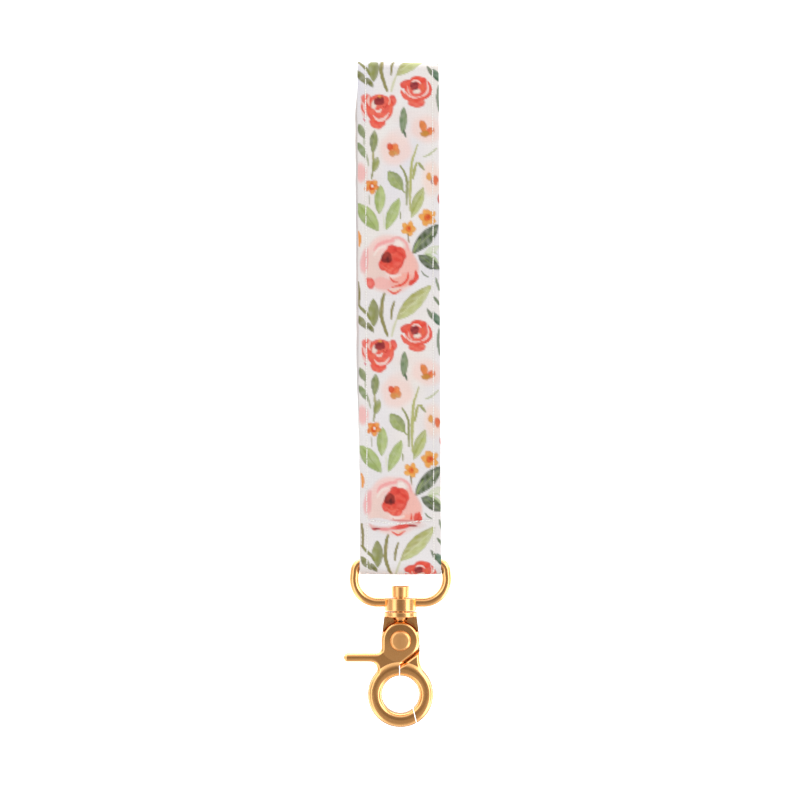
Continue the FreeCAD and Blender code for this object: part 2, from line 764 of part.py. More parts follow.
def make_trigger():
    """Trigger: front half plate on the pivot, thumb lever and the left part of the ring."""
    seam = "dims.top_seam_x - dims.seam_half_gap"
    boss = disc("trigger_boss", "dims.boss_radius", "0", "dims.pivot_z", FRONT, FRONT_INNER)
    web = slab(
        "trigger_web",
        "-dims.boss_radius",
        "dims.boss_radius * sin(dims.diagonal_deg)",
        FRONT,
        FRONT_INNER,
        "dims.ring_z + dims.hole_radius",
        "dims.pivot_z",
    )
    slant = beyond_line("trigger_line", "dims.boss_radius", 1, CLEAR_FRONT, CLEAR_BACK)
    web = cut("trigger_web_cut", web, [slant])
    middle = "(dims.lever_top_z + dims.lever_base_z) / 2"
    tip_radius = "(dims.lever_top_z - dims.lever_base_z) / 2"
    lever = slab(
        "trigger_lever",
        "-dims.lever_reach + " + tip_radius,
        "0",
        FRONT,
        FRONT_INNER,
        "dims.lever_base_z",
        "dims.lever_top_z",
    )
    tip = disc(
        "trigger_lever_tip", tip_radius, "-dims.lever_reach + " + tip_radius, middle, FRONT, FRONT_INNER
    )
    root = slab(
        "trigger_root_upper",
        "-dims.boss_radius - dims.lever_root_upper",
        "-dims.boss_radius",
        FRONT,
        FRONT_INNER,
        "dims.lever_top_z",
        "dims.lever_top_z + dims.lever_root_upper",
    )
    root_round = disc(
        "trigger_root_upper_round",
        "dims.lever_root_upper",
        "-dims.boss_radius - dims.lever_root_upper",
        "dims.lever_top_z + dims.lever_root_upper",
        CLEAR_FRONT,
        CLEAR_BACK,
    )
    root = cut("trigger_root_cut", root, [root_round])
    # inside curve from the lever's underside into the ring
    drop = "(dims.lever_base_z - dims.lever_root_lower - dims.ring_z)"
    reach = "sqrt((dims.ring_radius + dims.lever_root_lower)^2 - %s^2)" % drop
    share = "(dims.ring_radius / (dims.ring_radius + dims.lever_root_lower))"
    waist = slab(
        "trigger_waist",
        "-" + reach,
        "dims.top_seam_x - 1",
        FRONT,
        BACK,
        "dims.ring_z + %s * %s" % (share, drop),
        "dims.lever_base_z",
    )
    waist_round = disc(
        "trigger_waist_round",
        "dims.lever_root_lower",
        "-" + reach,
        "dims.lever_base_z - dims.lever_root_lower",
        CLEAR_FRONT,
        CLEAR_BACK,
    )
    waist = cut("trigger_waist_cut", waist, [waist_round])
    rear = slab(
        "trigger_rear",
        "-dims.boss_radius - dims.rear_step",
        seam,
        FRONT_INNER,
        BACK,
        "dims.ring_z + dims.hole_radius",
        "dims.lever_top_z - dims.rear_step",
    )
    ring = disc("trigger_ring", "dims.ring_radius", "0", "dims.ring_z", FRONT, BACK)
    above = "dims.ring_z + %d" % TOOL_HALF
    right = slab("trigger_ring_right", seam, str(TOOL_HALF), CLEAR_FRONT, CLEAR_BACK, "dims.ring_z", above)
    seam_cut = seam_beyond("trigger_ring_tip", "0", CLEAR_FRONT, CLEAR_BACK)
    ring = cut("trigger_ring_cut", ring, [right, seam_cut])
    full = fuse("trigger_full_depth", [ring, waist, rear])
    clear = "dims.boss_radius + dims.boss_clear"
    inside = within_line("trigger_rear_clear", clear, -1, FRONT_INNER, CLEAR_BACK)
    full = cut("trigger_full_cut", full, [inside])
    solid = fuse("trigger_blank", [boss, web, lever, tip, root, full])
    hole = disc("trigger_hole", "dims.hole_radius", "0", "dims.ring_z", CLEAR_FRONT, CLEAR_BACK)
    pivot = disc("trigger_bore", "dims.pivot_bore_radius", "0", "dims.pivot_z", CLEAR_FRONT, "0")
    base_y = "-dims.plate_gap - dims.spring_pocket_deep"
    pocket = disc("trigger_pocket", "dims.spring_pocket_radius", "0", "dims.pivot_z", base_y, "0")
    blank = cut("trigger_holed", solid, [hole])
    doc.recompute()

    def rear_straight(edge):
        return on_seam(edge) or edge.Curve.TypeId == "Part::GeomLine"

    tools = [pivot, pocket, spring_slot(base_y)]
    return finish_jaw("trigger_jaw", blank, tools, on_seam, rear_straight)


def spring_slot(base_y):
    """Sector beside the pocket in which the spring's leg lies while the trigger swings."""
    sector = disc("trigger_slot", "dims.spring_slot_radius", "0", "dims.pivot_z", base_y, "0")
    sector.setExpression("Angle", "dims.spring_slot_deg")
    sector.Placement = FreeCAD.Placement(
        FreeCAD.Vector(0, 0, 0),
        FreeCAD.Rotation(FreeCAD.Vector(0, 1, 0), -40)
        * FreeCAD.Rotation(FreeCAD.Vector(1, 0, 0), -90),
    )
    sector.setExpression("Placement.Base.y", base_y)
    sector.setExpression("Placement.Base.z", "dims.pivot_z")
    return sector


def on_seam(edge):
    """True for the short edges where the two jaws meet, which stay sharp."""
    middle = edge.CenterOfMass
    at_top = abs(middle.x - value("top_seam_x")) < 0.3 and middle.z > value("ring_z")
    lean = math.tan(math.radians(value("tip_seam_deg")))
    seam_x = value("tip_seam_x") + lean * (value("ring_z") - middle.z)
    straight = edge.Curve.TypeId == "Part::GeomLine"
    at_tip = straight and middle.z < value("ring_z") and abs(middle.x - seam_x) < 0.5
    return at_top or at_tip


def finish_jaw(name, blank, tools, sharp_front, sharp_back):
    """Round the outline on both faces, then open the bores and pockets."""
    depth = value("half_depth")
    round_by = value("edge_round")
    shape = blank.Shape
    numbers = face_edges(shape, -depth, sharp_front) + face_edges(shape, depth, sharp_back)
    soft = rounded(name + "_rounded", blank, [(numbers, round_by)])
    result = cut(name, soft, tools)
    result.Label = name
    return result


def make_hook_body():
    """Hook body: round flange, hollow column, rear half plate and the right part of the ring."""
    seam = "dims.top_seam_x + dims.seam_half_gap"
    column = doc.addObject("Part::Wedge", "hook_column")
    column.Placement = FreeCAD.Placement(
        FreeCAD.Vector(0, 0, 0), FreeCAD.Rotation(FreeCAD.Vector(1, 0, 0), -90)
    )
    column.setExpression("Xmin", "-dims.column_half")
    column.setExpression("Xmax", "dims.column_half")
    column.setExpression("X2min", "-dims.shoulder_half")
    column.setExpression("X2max", "dims.shoulder_half")
    column.Ymin = 0.0
    column.setExpression("Ymax", "dims.flange_base_z - dims.pivot_z")
    column.Zmin = 0.0
    column.Z2min = 0.0
    column.setExpression("Zmax", "dims.half_depth * 2")
    column.setExpression("Z2max", "dims.half_depth * 2")
    column.setExpression("Placement.Base.y", "-dims.half_depth")
    column.setExpression("Placement.Base.z", "dims.flange_base_z")
    clear = "dims.boss_radius + dims.boss_clear"
    recess = disc("hook_recess", clear, "0", "dims.pivot_z", CLEAR_FRONT, BACK_INNER)
    cavity = slab(
        "hook_cavity",
        "-dims.cavity_half",
        "dims.cavity_half",
        CLEAR_FRONT,
        BACK_INNER,
        "dims.cavity_base_z",
        "dims.flange_base_z",
    )
    below = slab(
        "hook_column_below",
        str(-TOOL_HALF),
        str(TOOL_HALF),
        CLEAR_FRONT,
        BACK_INNER,
        "dims.pivot_z - 1",
        "dims.cavity_base_z",
    )
    column = cut("hook_column_cut", column, [recess, cavity, below])
    boss = disc("hook_boss", "dims.boss_radius", "0", "dims.pivot_z", BACK_INNER, BACK)
    rear = slab(
        "hook_rear",
        "-dims.boss_radius * sin(dims.diagonal_deg)",
        "dims.shoulder_half",
        BACK_INNER,
        BACK,
        "dims.ring_z + dims.hole_radius",
        "dims.pivot_z",
    )
    slant = beyond_line("hook_rear_line", "dims.boss_radius", -1, CLEAR_FRONT, CLEAR_BACK)
    rear = cut("hook_rear_cut", rear, [slant])
    front = slab(
        "hook_front",
        seam,
        "dims.shoulder_half",
        FRONT,
        BACK,
        "dims.ring_z + dims.hole_radius",
        "dims.pivot_z",
    )
    front = cut("hook_front_cut", front, [within_line("hook_front_line", clear, 1, CLEAR_FRONT, CLEAR_BACK)])
    # inside curve from the straight side into the ring
    wide = "(dims.shoulder_half + dims.neck_round)"
    rise = "sqrt((dims.ring_radius + dims.neck_round)^2 - %s^2)" % wide
    share = "(dims.ring_radius / (dims.ring_radius + dims.neck_round))"
    neck = slab(
        "hook_neck",
        "dims.shoulder_half - 0.5",
        "%s * %s" % (share, wide),
        FRONT,
        BACK,
        "dims.ring_z + %s * %s" % (share, rise),
        "dims.ring_z + " + rise,
    )
    neck_z = "dims.ring_z + " + rise
    neck_round = disc("hook_neck_round", "dims.neck_round", wide, neck_z, CLEAR_FRONT, CLEAR_BACK)
    neck = cut("hook_neck_cut", neck, [neck_round])
    ring = disc("hook_ring", "dims.ring_radius", "0", "dims.ring_z", FRONT, BACK)
    low = "dims.ring_z - %d" % TOOL_HALF
    high = "dims.ring_z + %d" % TOOL_HALF
    left = slab("hook_ring_left", str(-TOOL_HALF), seam, CLEAR_FRONT, CLEAR_BACK, low, high)
    tip = seam_beyond("hook_ring_tip", "dims.tip_seam_gap", CLEAR_FRONT, CLEAR_BACK)
    right = str(TOOL_HALF)
    under = slab("hook_ring_under", seam, right, CLEAR_FRONT, CLEAR_BACK, low, "dims.ring_z - 2")
    lower = disc("hook_ring_lower", "dims.ring_radius", "0", "dims.ring_z", FRONT, BACK)
    lower = common("hook_ring_lower_right", lower, tip)
    inner = within_line("hook_ring_line", clear, 1, CLEAR_FRONT, BACK_INNER)
    ring = cut("hook_ring_cut", ring, [left, under, inner])
    solid = fuse("hook_blank", [column, boss, rear, front, neck, ring, lower])
    hole = disc("hook_hole", "dims.hole_radius", "0", "dims.ring_z", CLEAR_FRONT, CLEAR_BACK)
    blank = cut("hook_holed", solid, [hole])
    doc.recompute()
    bore = disc("hook_pivot_seat", "dims.pivot_shank_radius", "0", "dims.pivot_z", "0", CLEAR_BACK)

    def upper_walls(edge):
        return on_seam(edge) or edge.CenterOfMass.z > value("pivot_z") - 2.4

    anchor = disc(
        "hook_spring_seat",
        "dims.spring_wire_radius + dims.spring_anchor_clear",
        "-dims.spring_coil_radius",
        "dims.pivot_z",
        "-1",
        "dims.spring_anchor_y + 0.1",
    )
    hollow = slab(
        "hook_cavity_hollow",
        "-dims.cavity_half + dims.cavity_inset",
        "dims.cavity_half - dims.cavity_inset",
        CLEAR_FRONT,
        "dims.half_depth - dims.cavity_wall",
        "dims.cavity_base_z + dims.cavity_inset",
        "dims.flange_base_z - dims.cavity_inset",
    )
    keep = disc("hook_boss_keep", clear, "0", "dims.pivot_z", CLEAR_FRONT, CLEAR_BACK)
    hollow = cut("hook_hollow_cut", hollow, [keep])
    body = finish_jaw("hook_jaw", blank, [bore, anchor, hollow], upper_walls, on_seam)
    flange = doc.addObject("Part::Cylinder", "hook_flange")
    flange.setExpression("Radius", "dims.flange_radius")
    flange.setExpression("Height", "dims.flange_top_z - dims.flange_base_z")
    flange.setExpression("Placement.Base.z", "dims.flange_base_z")
    doc.recompute()
    rims = [n for n, e in enumerate(flange.Shape.Edges, start=1) if e.Curve.TypeId == "Part::GeomCircle"]
    flange = rounded("hook_flange_rounded", flange, [(rims, value("flange_round"))])
    whole = fuse("hook_whole", [body, flange])
    seat = doc.addObject("Part::Cylinder", "hook_swivel_seat")
    seat.setExpression("Radius", "dims.swivel_shank_radius")
    seat.Height = 6.0
    seat.setExpression("Placement.Base.z", "dims.flange_base_z - 2")
    room = doc.addObject("Part::Cylinder", "hook_tail_room")
    room.setExpression("Radius", "dims.swivel_tail_radius + dims.swivel_tail_clear")
    room.setExpression("Height", "dims.flange_base_z - dims.swivel_tail_z + dims.swivel_tail_clear")
    room.setExpression("Placement.Base.z", "dims.swivel_tail_z - dims.swivel_tail_clear")
    result = cut("hook_body", whole, [seat, room])
    result.Label = "hook_body"
    return result


def lathe_y(body, name, points, expressions):
    """Turn a closed profile, radius across and depth up, about a line through the pivot along Y."""
    sketch = body.newObject("Sketcher::SketchObject", name + "_sketch")
    sketch.AttachmentSupport = [(plane(body, "XY_Plane"), "")]
    sketch.MapMode = "FlatFace"
    sketch.setExpression("AttachmentOffset.Base.z", "dims.pivot_z")
    count = len(points)
    edges = []
    for k in range(count):
        start = points[k]
        end = points[(k + 1) % count]
        edges.append(line(sketch, vec(start[0], start[1]), vec(end[0], end[1])))
    for k in range(count):
        sketch.addConstraint(Sketcher.Constraint("Coincident", edges[k], 2, edges[(k + 1) % count], 1))
    for k in range(count):
        across, up = expressions[k]
        if across is None:
            sketch.addConstraint(Sketcher.Constraint("PointOnObject", edges[k], 1, -2))
        else:
            driven(sketch, Sketcher.Constraint("DistanceX", -1, 1, edges[k], 1, points[k][0]), across)
        driven(sketch, Sketcher.Constraint("DistanceY", -1, 1, edges[k], 1, points[k][1]), up)
    feature = body.newObject("PartDesign::Revolution", name)
    feature.Profile = sketch
    feature.ReferenceAxis = (sketch, ["V_Axis"])
    feature.Angle = 360.0
    body.Tip = feature
    return feature


def make_pivot_rivet():
    """Pin on which the trigger turns: domed head in front, formed tail behind."""
    body = new_body("pivot_rivet")
    face = -value("half_depth") - value("pivot_head_lift")
    front = face - value("pivot_head_high")
    back = value("half_depth")
    tail = back + value("pivot_tail_high")
    shank = value("pivot_shank_radius")
    head = value("pivot_head_radius")
    foot = value("pivot_tail_radius")
    face_expr = "-dims.half_depth - dims.pivot_head_lift"
    front_expr = face_expr + " - dims.pivot_head_high"
    lathe_y(
        body,
        "pivot_pin",
        [(0.0, front), (head, front), (head, face), (shank, face), (shank, back), (foot, back),
         (foot, tail), (0.0, tail)],
        [
            (None, front_expr),
            ("dims.pivot_head_radius", front_expr),
            ("dims.pivot_head_radius", face_expr),
            ("dims.pivot_shank_radius", face_expr),
            ("dims.pivot_shank_radius", "dims.half_depth"),
            ("dims.pivot_tail_radius", "dims.half_depth"),
            ("dims.pivot_tail_radius", "dims.half_depth + dims.pivot_tail_high"),
            (None, "dims.half_depth + dims.pivot_tail_high"),
        ],
    )

    def rim_at(edge, y, radius):
        if edge.Curve.TypeId != "Part::GeomCircle":
            return False
        return abs(edge.Curve.Center.y - y) < 0.01 and abs(edge.Curve.Radius - radius) < 0.01

    def head_rim(edge):
        return rim_at(edge, front, head)

    def tail_rim(edge):
        return rim_at(edge, tail, foot)

    round_edges(body, "pivot_head_rounded", "dims.pivot_head_high * 0.88", head_rim)
    round_edges(body, "pivot_tail_rounded", "dims.pivot_tail_high * 0.75", tail_rim)
    return body


def make_spring():
    """Torsion spring round the pivot, with a leg in the trigger's slot and one anchored behind."""
    pieces = []
    for number in range(int(value("spring_turns"))):
        turn = doc.addObject("Part::Torus", "spring_turn_%d" % number)
        turn.Placement = FreeCAD.Placement(
            FreeCAD.Vector(0, 0, 0), FreeCAD.Rotation(FreeCAD.Vector(1, 0, 0), -90)
        )
        turn.setExpression("Radius1", "dims.spring_coil_radius")
        turn.setExpression("Radius2", "dims.spring_wire_radius")
        turn.setExpression("Placement.Base.y", "dims.spring_start_y + dims.spring_pitch * %d" % number)
        turn.setExpression("Placement.Base.z", "dims.pivot_z")
        pieces.append(turn)
    leg = doc.addObject("Part::Cylinder", "spring_leg_front")
    leg.Placement = FreeCAD.Placement(
        FreeCAD.Vector(0, 0, 0), FreeCAD.Rotation(FreeCAD.Vector(0, 1, 0), 90)
    )
    leg.setExpression("Radius", "dims.spring_wire_radius * 0.9")
    leg.setExpression("Height", "dims.spring_leg")
    leg.setExpression("Placement.Base.x", "dims.spring_coil_radius")
    leg.setExpression("Placement.Base.y", "dims.spring_start_y")
    leg.setExpression("Placement.Base.z", "dims.pivot_z")
    last = "dims.spring_start_y + dims.spring_pitch * (dims.spring_turns - 1)"
    anchor = disc(
        "spring_leg_rear",
        "dims.spring_wire_radius * 0.9",
        "-dims.spring_coil_radius",
        "dims.pivot_z",
        last,
        "dims.spring_anchor_y",
    )
    joined = fuse("torsion_spring", pieces + [leg, anchor])
    joined.Label = "torsion_spring"
    return joined


def export(parts):
    doc.recompute()
    for item in doc.Objects:
        if "Invalid" in item.State or "Error" in item.State:
            raise RuntimeError("%s is %s" % (item.Name, item.State))
    os.makedirs("parts", exist_ok=True)
    for item in parts:
        shape = item.Shape
        if shape.isNull() or not shape.isValid():
            raise RuntimeError("bad shape in " + item.Label)
        shape.exportStep("parts/%s.step" % item.Label)


PARTS = [
    make_cover(),
    make_core(),
    make_edge_row("edge_stitch_left", -1),
    make_edge_row("edge_stitch_right", 1),
    make_cross_row(),
    make_loop(),
    make_swivel_rivet(),
    make_trigger(),
    make_hook_body(),
    make_pivot_rivet(),
    make_spring(),
]
export(PARTS)
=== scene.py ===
import math

import bpy
import numpy as np
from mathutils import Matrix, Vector


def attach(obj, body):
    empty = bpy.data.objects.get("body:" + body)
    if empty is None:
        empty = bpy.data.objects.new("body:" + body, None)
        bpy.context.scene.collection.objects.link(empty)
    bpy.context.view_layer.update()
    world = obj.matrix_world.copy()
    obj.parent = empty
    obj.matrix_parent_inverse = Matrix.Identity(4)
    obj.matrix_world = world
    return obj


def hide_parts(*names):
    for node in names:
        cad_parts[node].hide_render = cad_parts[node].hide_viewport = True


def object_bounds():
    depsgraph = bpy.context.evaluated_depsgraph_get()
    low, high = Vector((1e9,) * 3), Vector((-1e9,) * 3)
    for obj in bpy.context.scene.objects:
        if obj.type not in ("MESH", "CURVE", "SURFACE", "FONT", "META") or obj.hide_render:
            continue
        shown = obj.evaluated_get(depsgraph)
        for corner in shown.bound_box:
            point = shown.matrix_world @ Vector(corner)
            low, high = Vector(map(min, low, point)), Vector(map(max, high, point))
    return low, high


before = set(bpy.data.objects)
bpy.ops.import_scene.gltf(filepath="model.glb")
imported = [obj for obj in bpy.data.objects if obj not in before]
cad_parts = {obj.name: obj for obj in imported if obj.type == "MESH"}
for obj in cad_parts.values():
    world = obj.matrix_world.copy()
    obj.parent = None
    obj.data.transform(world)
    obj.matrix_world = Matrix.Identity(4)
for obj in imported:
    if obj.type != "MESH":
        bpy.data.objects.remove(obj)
cad_low, cad_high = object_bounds()

# ---------------------------------------------------------------- band line, in mm, as in part.py
HALF_THICK = 0.75
HALF_WIDE = 12.7
CREASE_R = 1.85
BULGE_R = 277.0
RUN_R = 991.0
SEWN_Z = -139.6
SEWN_Y = 0.8
FLARE_R = 30.0
FOLD_R = 2.95
BAR_Z = -154.9
CROSS_Z = -142.2
PIVOT_Z = -179.1
RING_Z = -195.9
RING_MIDDLE = 8.0      # middle radius of the ring
RING_HALF = 2.2        # half the ring's width
REPEAT = 75.7          # length of one repeat of the print
SKEW = 0.016           # sideways drift of the print per mm below the first repeat
STITCH = 3.3           # spacing of the lock stitches along the edges
FOLD_LAG = 1.48        # how much longer the way over the top fold is than its height
INNER_SHIFT = 31.0     # how far the print on the inner face is out of step with the outer face
EDGE_ROW = 10.4        # distance of the edge stitches from the band's middle
CROSS_STEP = 1.94      # spacing of the stitches in the cross row
BOSS_REACH = 0.0066    # how far the dome spreads from the pivot, in metres


def half_line():
    """Middle line of the front layer from the top fold to the bottom fold, with outward normals."""
    crease_z = HALF_THICK - CREASE_R
    low, high = 0.0, math.radians(20)
    for _ in range(60):
        opening = 0.5 * (low + high)
        out = CREASE_R * math.cos(opening) + BULGE_R * (1 - math.cos(opening))
        closing = math.acos(min(1.0, 1 - (out - SEWN_Y) / (BULGE_R + RUN_R)))
        reach = (BULGE_R - CREASE_R) * math.sin(opening) + (BULGE_R + RUN_R) * math.sin(closing)
        if reach < crease_z - SEWN_Z:
            low = opening
        else:
            high = opening
    turn = math.acos((SEWN_Y + FLARE_R) / (FOLD_R + FLARE_R))
    flare_z = BAR_Z + (FOLD_R + FLARE_R) * math.sin(turn)
    bulge_y = (BULGE_R - CREASE_R) * math.cos(opening)
    bulge_z = crease_z + (CREASE_R - BULGE_R) * math.sin(opening)
    pi = math.pi
    # centre y, centre z, radius, first angle, last angle, side of the normal, steps;
    # the run with no centre y is straight, and its fourth value is the height where it ends
    runs = [
        (0, crease_z, CREASE_R, pi / 2, pi - opening, 1, 14),
        (bulge_y, bulge_z, BULGE_R, pi - opening, pi + closing, 1, 150),
        (-SEWN_Y - RUN_R, SEWN_Z, RUN_R, closing, 0, -1, 188),
        (None, SEWN_Z, None, flare_z, None, None, 15),
        (-SEWN_Y - FLARE_R, flare_z, FLARE_R, 0, -turn, -1, 34),
        (0, BAR_Z, FOLD_R, pi - turn, 1.5 * pi, 1, 24),
    ]
    rows = []
    for cy, cz, radius, first, last, side, steps in runs:
        for k in range(steps):
            t = k / steps
            if cy is None:
                rows.append((-SEWN_Y, cz + (first - cz) * t, -1.0, 0.0))
            else:
                a = first + (last - first) * t
                rows.append((cy + radius * math.cos(a), cz + radius * math.sin(a),
                             side * math.cos(a), side * math.sin(a)))
    rows.append((0.0, BAR_Z - FOLD_R, 0.0, -1.0))
    return np.array(rows)


LINE = half_line()
OUTER = LINE[:, :2] + HALF_THICK * LINE[:, 2:]
RUN = np.concatenate([[0], np.cumsum(np.hypot(*np.diff(OUTER, axis=0).T))])
LENGTH = RUN[-1]


def waves(x, v, size, seed):
    """Smooth seeded unevenness, about -1 to 1."""
    rng = np.random.RandomState(seed)
    total = np.zeros(np.broadcast(x, v).shape)
    for _ in range(6):
        a = rng.uniform(0, 2 * math.pi)
        f = 2 * math.pi / size * rng.uniform(0.6, 1.8)
        total = total + np.sin(f * (x * math.cos(a) + v * math.sin(a)) + rng.uniform(0, 6.28))
    return total / 2.6


def smooth(value, low, high):
    """Soft step from 0 at low to 1 at high."""
    t = np.clip((value - low) / (high - low), 0, 1)
    return t * t * (3 - 2 * t)


def row_z(x):
    """Height of the cross row, which sags a little left of the middle."""
    return CROSS_Z + 0.55 - 1.15 * np.exp(-((x + 0.8) / 5.6) ** 2)


def lean(z, back):
    """The band hangs a little to the left at its top, the back layer a little more."""
    share = np.clip(1 + z / 160, 0, 1)
    return -0.78 * share - np.where(back, 0.85 * smooth(-z, 4, 16) * (1 - smooth(-z, 90, 125)), 0.0)


def droop(x, z):
    """The top fold slopes down a little to the right."""
    return -(0.42 + 0.26 * x / HALF_WIDE) * np.exp(np.clip(z, -200, 2) / 16)


def swell(x, s, z, back):
    """How far the cloth's outer face stands off its plain shape."""
    stitch = 1 - 0.35 * np.cos(2 * math.pi * s / STITCH)
    d = -0.15 * np.exp(-((np.abs(x) - EDGE_ROW) / 0.5) ** 2) * stitch
    d = d + 0.04 * np.exp(-((np.abs(x) - 11.5) / 0.5) ** 2)
    # the back takes its unevenness from another stretch
    along = s + np.where(back, 300.0, 0.0)
    d = d + 0.05 * waves(x, along, 15, 7) + 0.02 * waves(x, along, 4, 8)
    near = z - row_z(x)
    inside = smooth(EDGE_ROW - np.abs(x), 0, 1.2)
    ripple = np.sin(2 * math.pi * x / CROSS_STEP + 0.9 * np.sin(0.8 * x))
    pinch = -0.42 * np.exp(-(near / 0.42) ** 2)
    pinch = pinch + 0.26 * np.exp(-((near - 1.25) / 0.75) ** 2)
    pinch = pinch + 0.20 * np.exp(-((near + 1.3) / 0.8) ** 2)
    pinch = pinch + 0.09 * ripple * np.exp(-np.abs(near) / 2.0)
    pinch = pinch + 0.10 * waves(x, near * 0.6, 4.5, 31) * np.exp(-(near / 3.2) ** 2)
    return d + inside * pinch


def on_band(x, s, high, back):
    """Point on the band: x across, s along the outer face from the top fold, high off the middle line."""
    y, z, ny, nz = (np.interp(s, RUN, LINE[:, k]) for k in range(4))
    side = np.where(back, -1.0, 1.0)
    py = (y + high * ny) * side
    pz = z + high * nz
    return np.stack(np.broadcast_arrays(x + lean(pz, back), py, pz + droop(x, pz)), axis=-1)


# ---------------------------------------------------------------- the print
def ink(code):
    """A colour written as red, green, blue hex, in linear light."""
    c = np.array([int(code[k:k + 2], 16) for k in (0, 2, 4)]) / 255
    return np.where(c <= 0.04045, c / 12.92, ((c + 0.055) / 1.055) ** 2.4)


class Paint:
    """Loose watercolour shapes laid over one another at a set of points, all sizes in mm."""

    def __init__(self, x, v):
        self.x, self.v = x, v
        warm, cool, pale = ink("EFE8E3"), ink("E9E5E8"), ink("F2EFEF")
        a = (0.5 + 0.5 * waves(x, v, 26, 3))[:, None]
        b = (0.5 + 0.5 * waves(x, v, 17, 4))[:, None]
        self.rgb = (warm * a + cool * (1 - a)) * (1 - 0.4 * b) + pale * 0.4 * b
        self.count = 0

    def local(self, cx, cv, degrees=0.0):
        """Points seen from the nearest copy of the place cx, cv, on turned axes."""
        turn = np.round((self.v - cv) / REPEAT)
        dx = self.x - cx - SKEW * np.maximum(self.v - REPEAT, 0)
        dv = self.v - cv - REPEAT * turn
        c, s = math.cos(math.radians(degrees)), math.sin(math.radians(degrees))
        return dx * c + dv * s, -dx * s + dv * c

    def lay(self, mask, colour):
        """Cover the points with a colour, as far as the mask says."""
        mask = np.clip(mask, 0, 1)[:, None]
        self.rgb = self.rgb * (1 - mask) + colour * mask

    def leaf(self, cx, cv, long, wide, degrees, main, shade=None, side=1, alpha=0.95, vein=None):
        """Pointed leaf, its length turned from the x axis down towards v."""
        self.count += 1
        along, across = self.local(cx, cv, degrees)
        t = along / long + 0.5
        inside = (t > 0) & (t < 1)
        half = 0.5 * wide * np.sin(math.pi * np.clip(t, 0.001, 0.999) ** 0.92) ** 0.8
        edge = half - np.abs(across) + 0.06 * waves(along, across, 2.8, self.count)
        mask = smooth(edge, -0.16, 0.2) * inside
        main = ink(main)
        shade = ink(shade) if shade else main * 0.72
        streak = 0.5 + 0.42 * np.tanh(side * across / (0.2 * wide))
        streak = streak + 0.22 * waves(along * 0.35, across, 1.3, 50 + self.count)
        streak = np.clip(streak, 0, 1)[:, None]
        colour = main * (1 - streak) + shade * streak
        rim = smooth(0.45 - edge, 0, 0.45)[:, None]
        colour = colour * (1 - 0.16 * rim)
        self.lay(mask * alpha * (0.92 + 0.08 * waves(along, across, 3, 90 + self.count)), colour)
        if vein:
            line = smooth(0.22 - np.abs(across - 0.06 * long * (t - 0.5)), 0, 0.16)
            self.lay(line * mask * 0.6 * (t > 0.12) * (t < 0.9), ink(vein))

    def stroke(self, points, wide, colour, alpha=0.95, soft=0.14, taper=0.35):
        """Brush line through the points, tapering to both ends."""
        self.count += 1
        pts = np.array(points, float)
        base = pts.mean(axis=0)
        px, pv = self.local(base[0], base[1])
        pts = pts - base
        if len(pts) > 2:
            knots = np.arange(len(pts))
            ext = np.vstack([2 * pts[0] - pts[1], pts, 2 * pts[-1] - pts[-2]])
            fine = []
            for k in knots[:-1]:
                p0, p1, p2, p3 = ext[k:k + 4]
                for t in (0, 0.25, 0.5, 0.75):
                    fine.append(0.5 * (2 * p1 + (p2 - p0) * t + (2 * p0 - 5 * p1 + 4 * p2 - p3) * t * t
                                       + (3 * p1 - p0 - 3 * p2 + p3) * t ** 3))
            fine.append(pts[-1])
            pts = np.array(fine)
        steps = np.hypot(*np.diff(pts, axis=0).T)
        start = np.concatenate([[0], np.cumsum(steps)])
        best = np.full(px.shape, 1e9)
        where = np.zeros(px.shape)
        for k, length in enumerate(steps):
            d = (pts[k + 1] - pts[k]) / length
            t = np.clip((px - pts[k, 0]) * d[0] + (pv - pts[k, 1]) * d[1], 0, length)
            gap = np.hypot(px - pts[k, 0] - d[0] * t, pv - pts[k, 1] - d[1] * t)
            closer = gap < best
            best = np.where(closer, gap, best)
            where = np.where(closer, start[k] + t, where)
        t = where / start[-1]
        half = 0.5 * wide * (1 - taper + taper * np.sin(math.pi * t))
        half = half * (1 + 0.12 * waves(px, pv, 2.0, 130 + self.count))
        self.lay(smooth(half - best, -soft, soft) * alpha, ink(colour))

    def blob(self, cx, cv, rx, rv, degrees, colour, alpha=0.95, soft=0.2, wobble=0.08, rim=0.12, shade=None):
        """Round wet patch with an uneven outline and a darker rim."""
        self.count += 1
        rng = np.random.RandomState(200 + self.count)
        p, q, w = rng.uniform(0, 6.28, 3)
        along, across = self.local(cx, cv, degrees)
        angle = np.arctan2(across / rv, along / rx)
        radius = np.hypot(along / rx, across / rv)
        uneven = 0.8 * np.sin(2 * angle + p) + 0.55 * np.sin(3 * angle + q) + 0.3 * np.sin(6 * angle + w)
        limit = 1 + wobble * uneven
        edge = (limit - radius) * min(rx, rv)
        tone = ink(colour)
        if shade:
            mix = np.clip(0.5 + 0.6 * waves(along, across, 2.6, 260 + self.count), 0, 1)[:, None]
            tone = tone * (1 - mix) + ink(shade) * mix
        dark = (rim * smooth(0.4 - edge, 0, 0.4))[:, None]
        self.lay(smooth(edge, -soft, soft) * alpha, tone * (1 - dark))

    def daisy(self, cx, cv, r, petal, eye, spin=0.0, ring=None, dot=None):
        """Small five-petalled flower."""
        for k in range(5):
            a = math.radians(spin + 72 * k)
            self.blob(cx + 0.58 * r * math.cos(a), cv + 0.58 * r * math.sin(a), 0.46 * r, 0.42 * r,
                      spin + 72 * k, petal, wobble=0.12, soft=0.18, shade=ring)
        self.blob(cx, cv, 0.42 * r, 0.42 * r, 0, eye, soft=0.22)
        if dot:
            self.blob(cx + 0.08 * r, cv - 0.05 * r, 0.17 * r, 0.17 * r, 0, dot, soft=0.15)

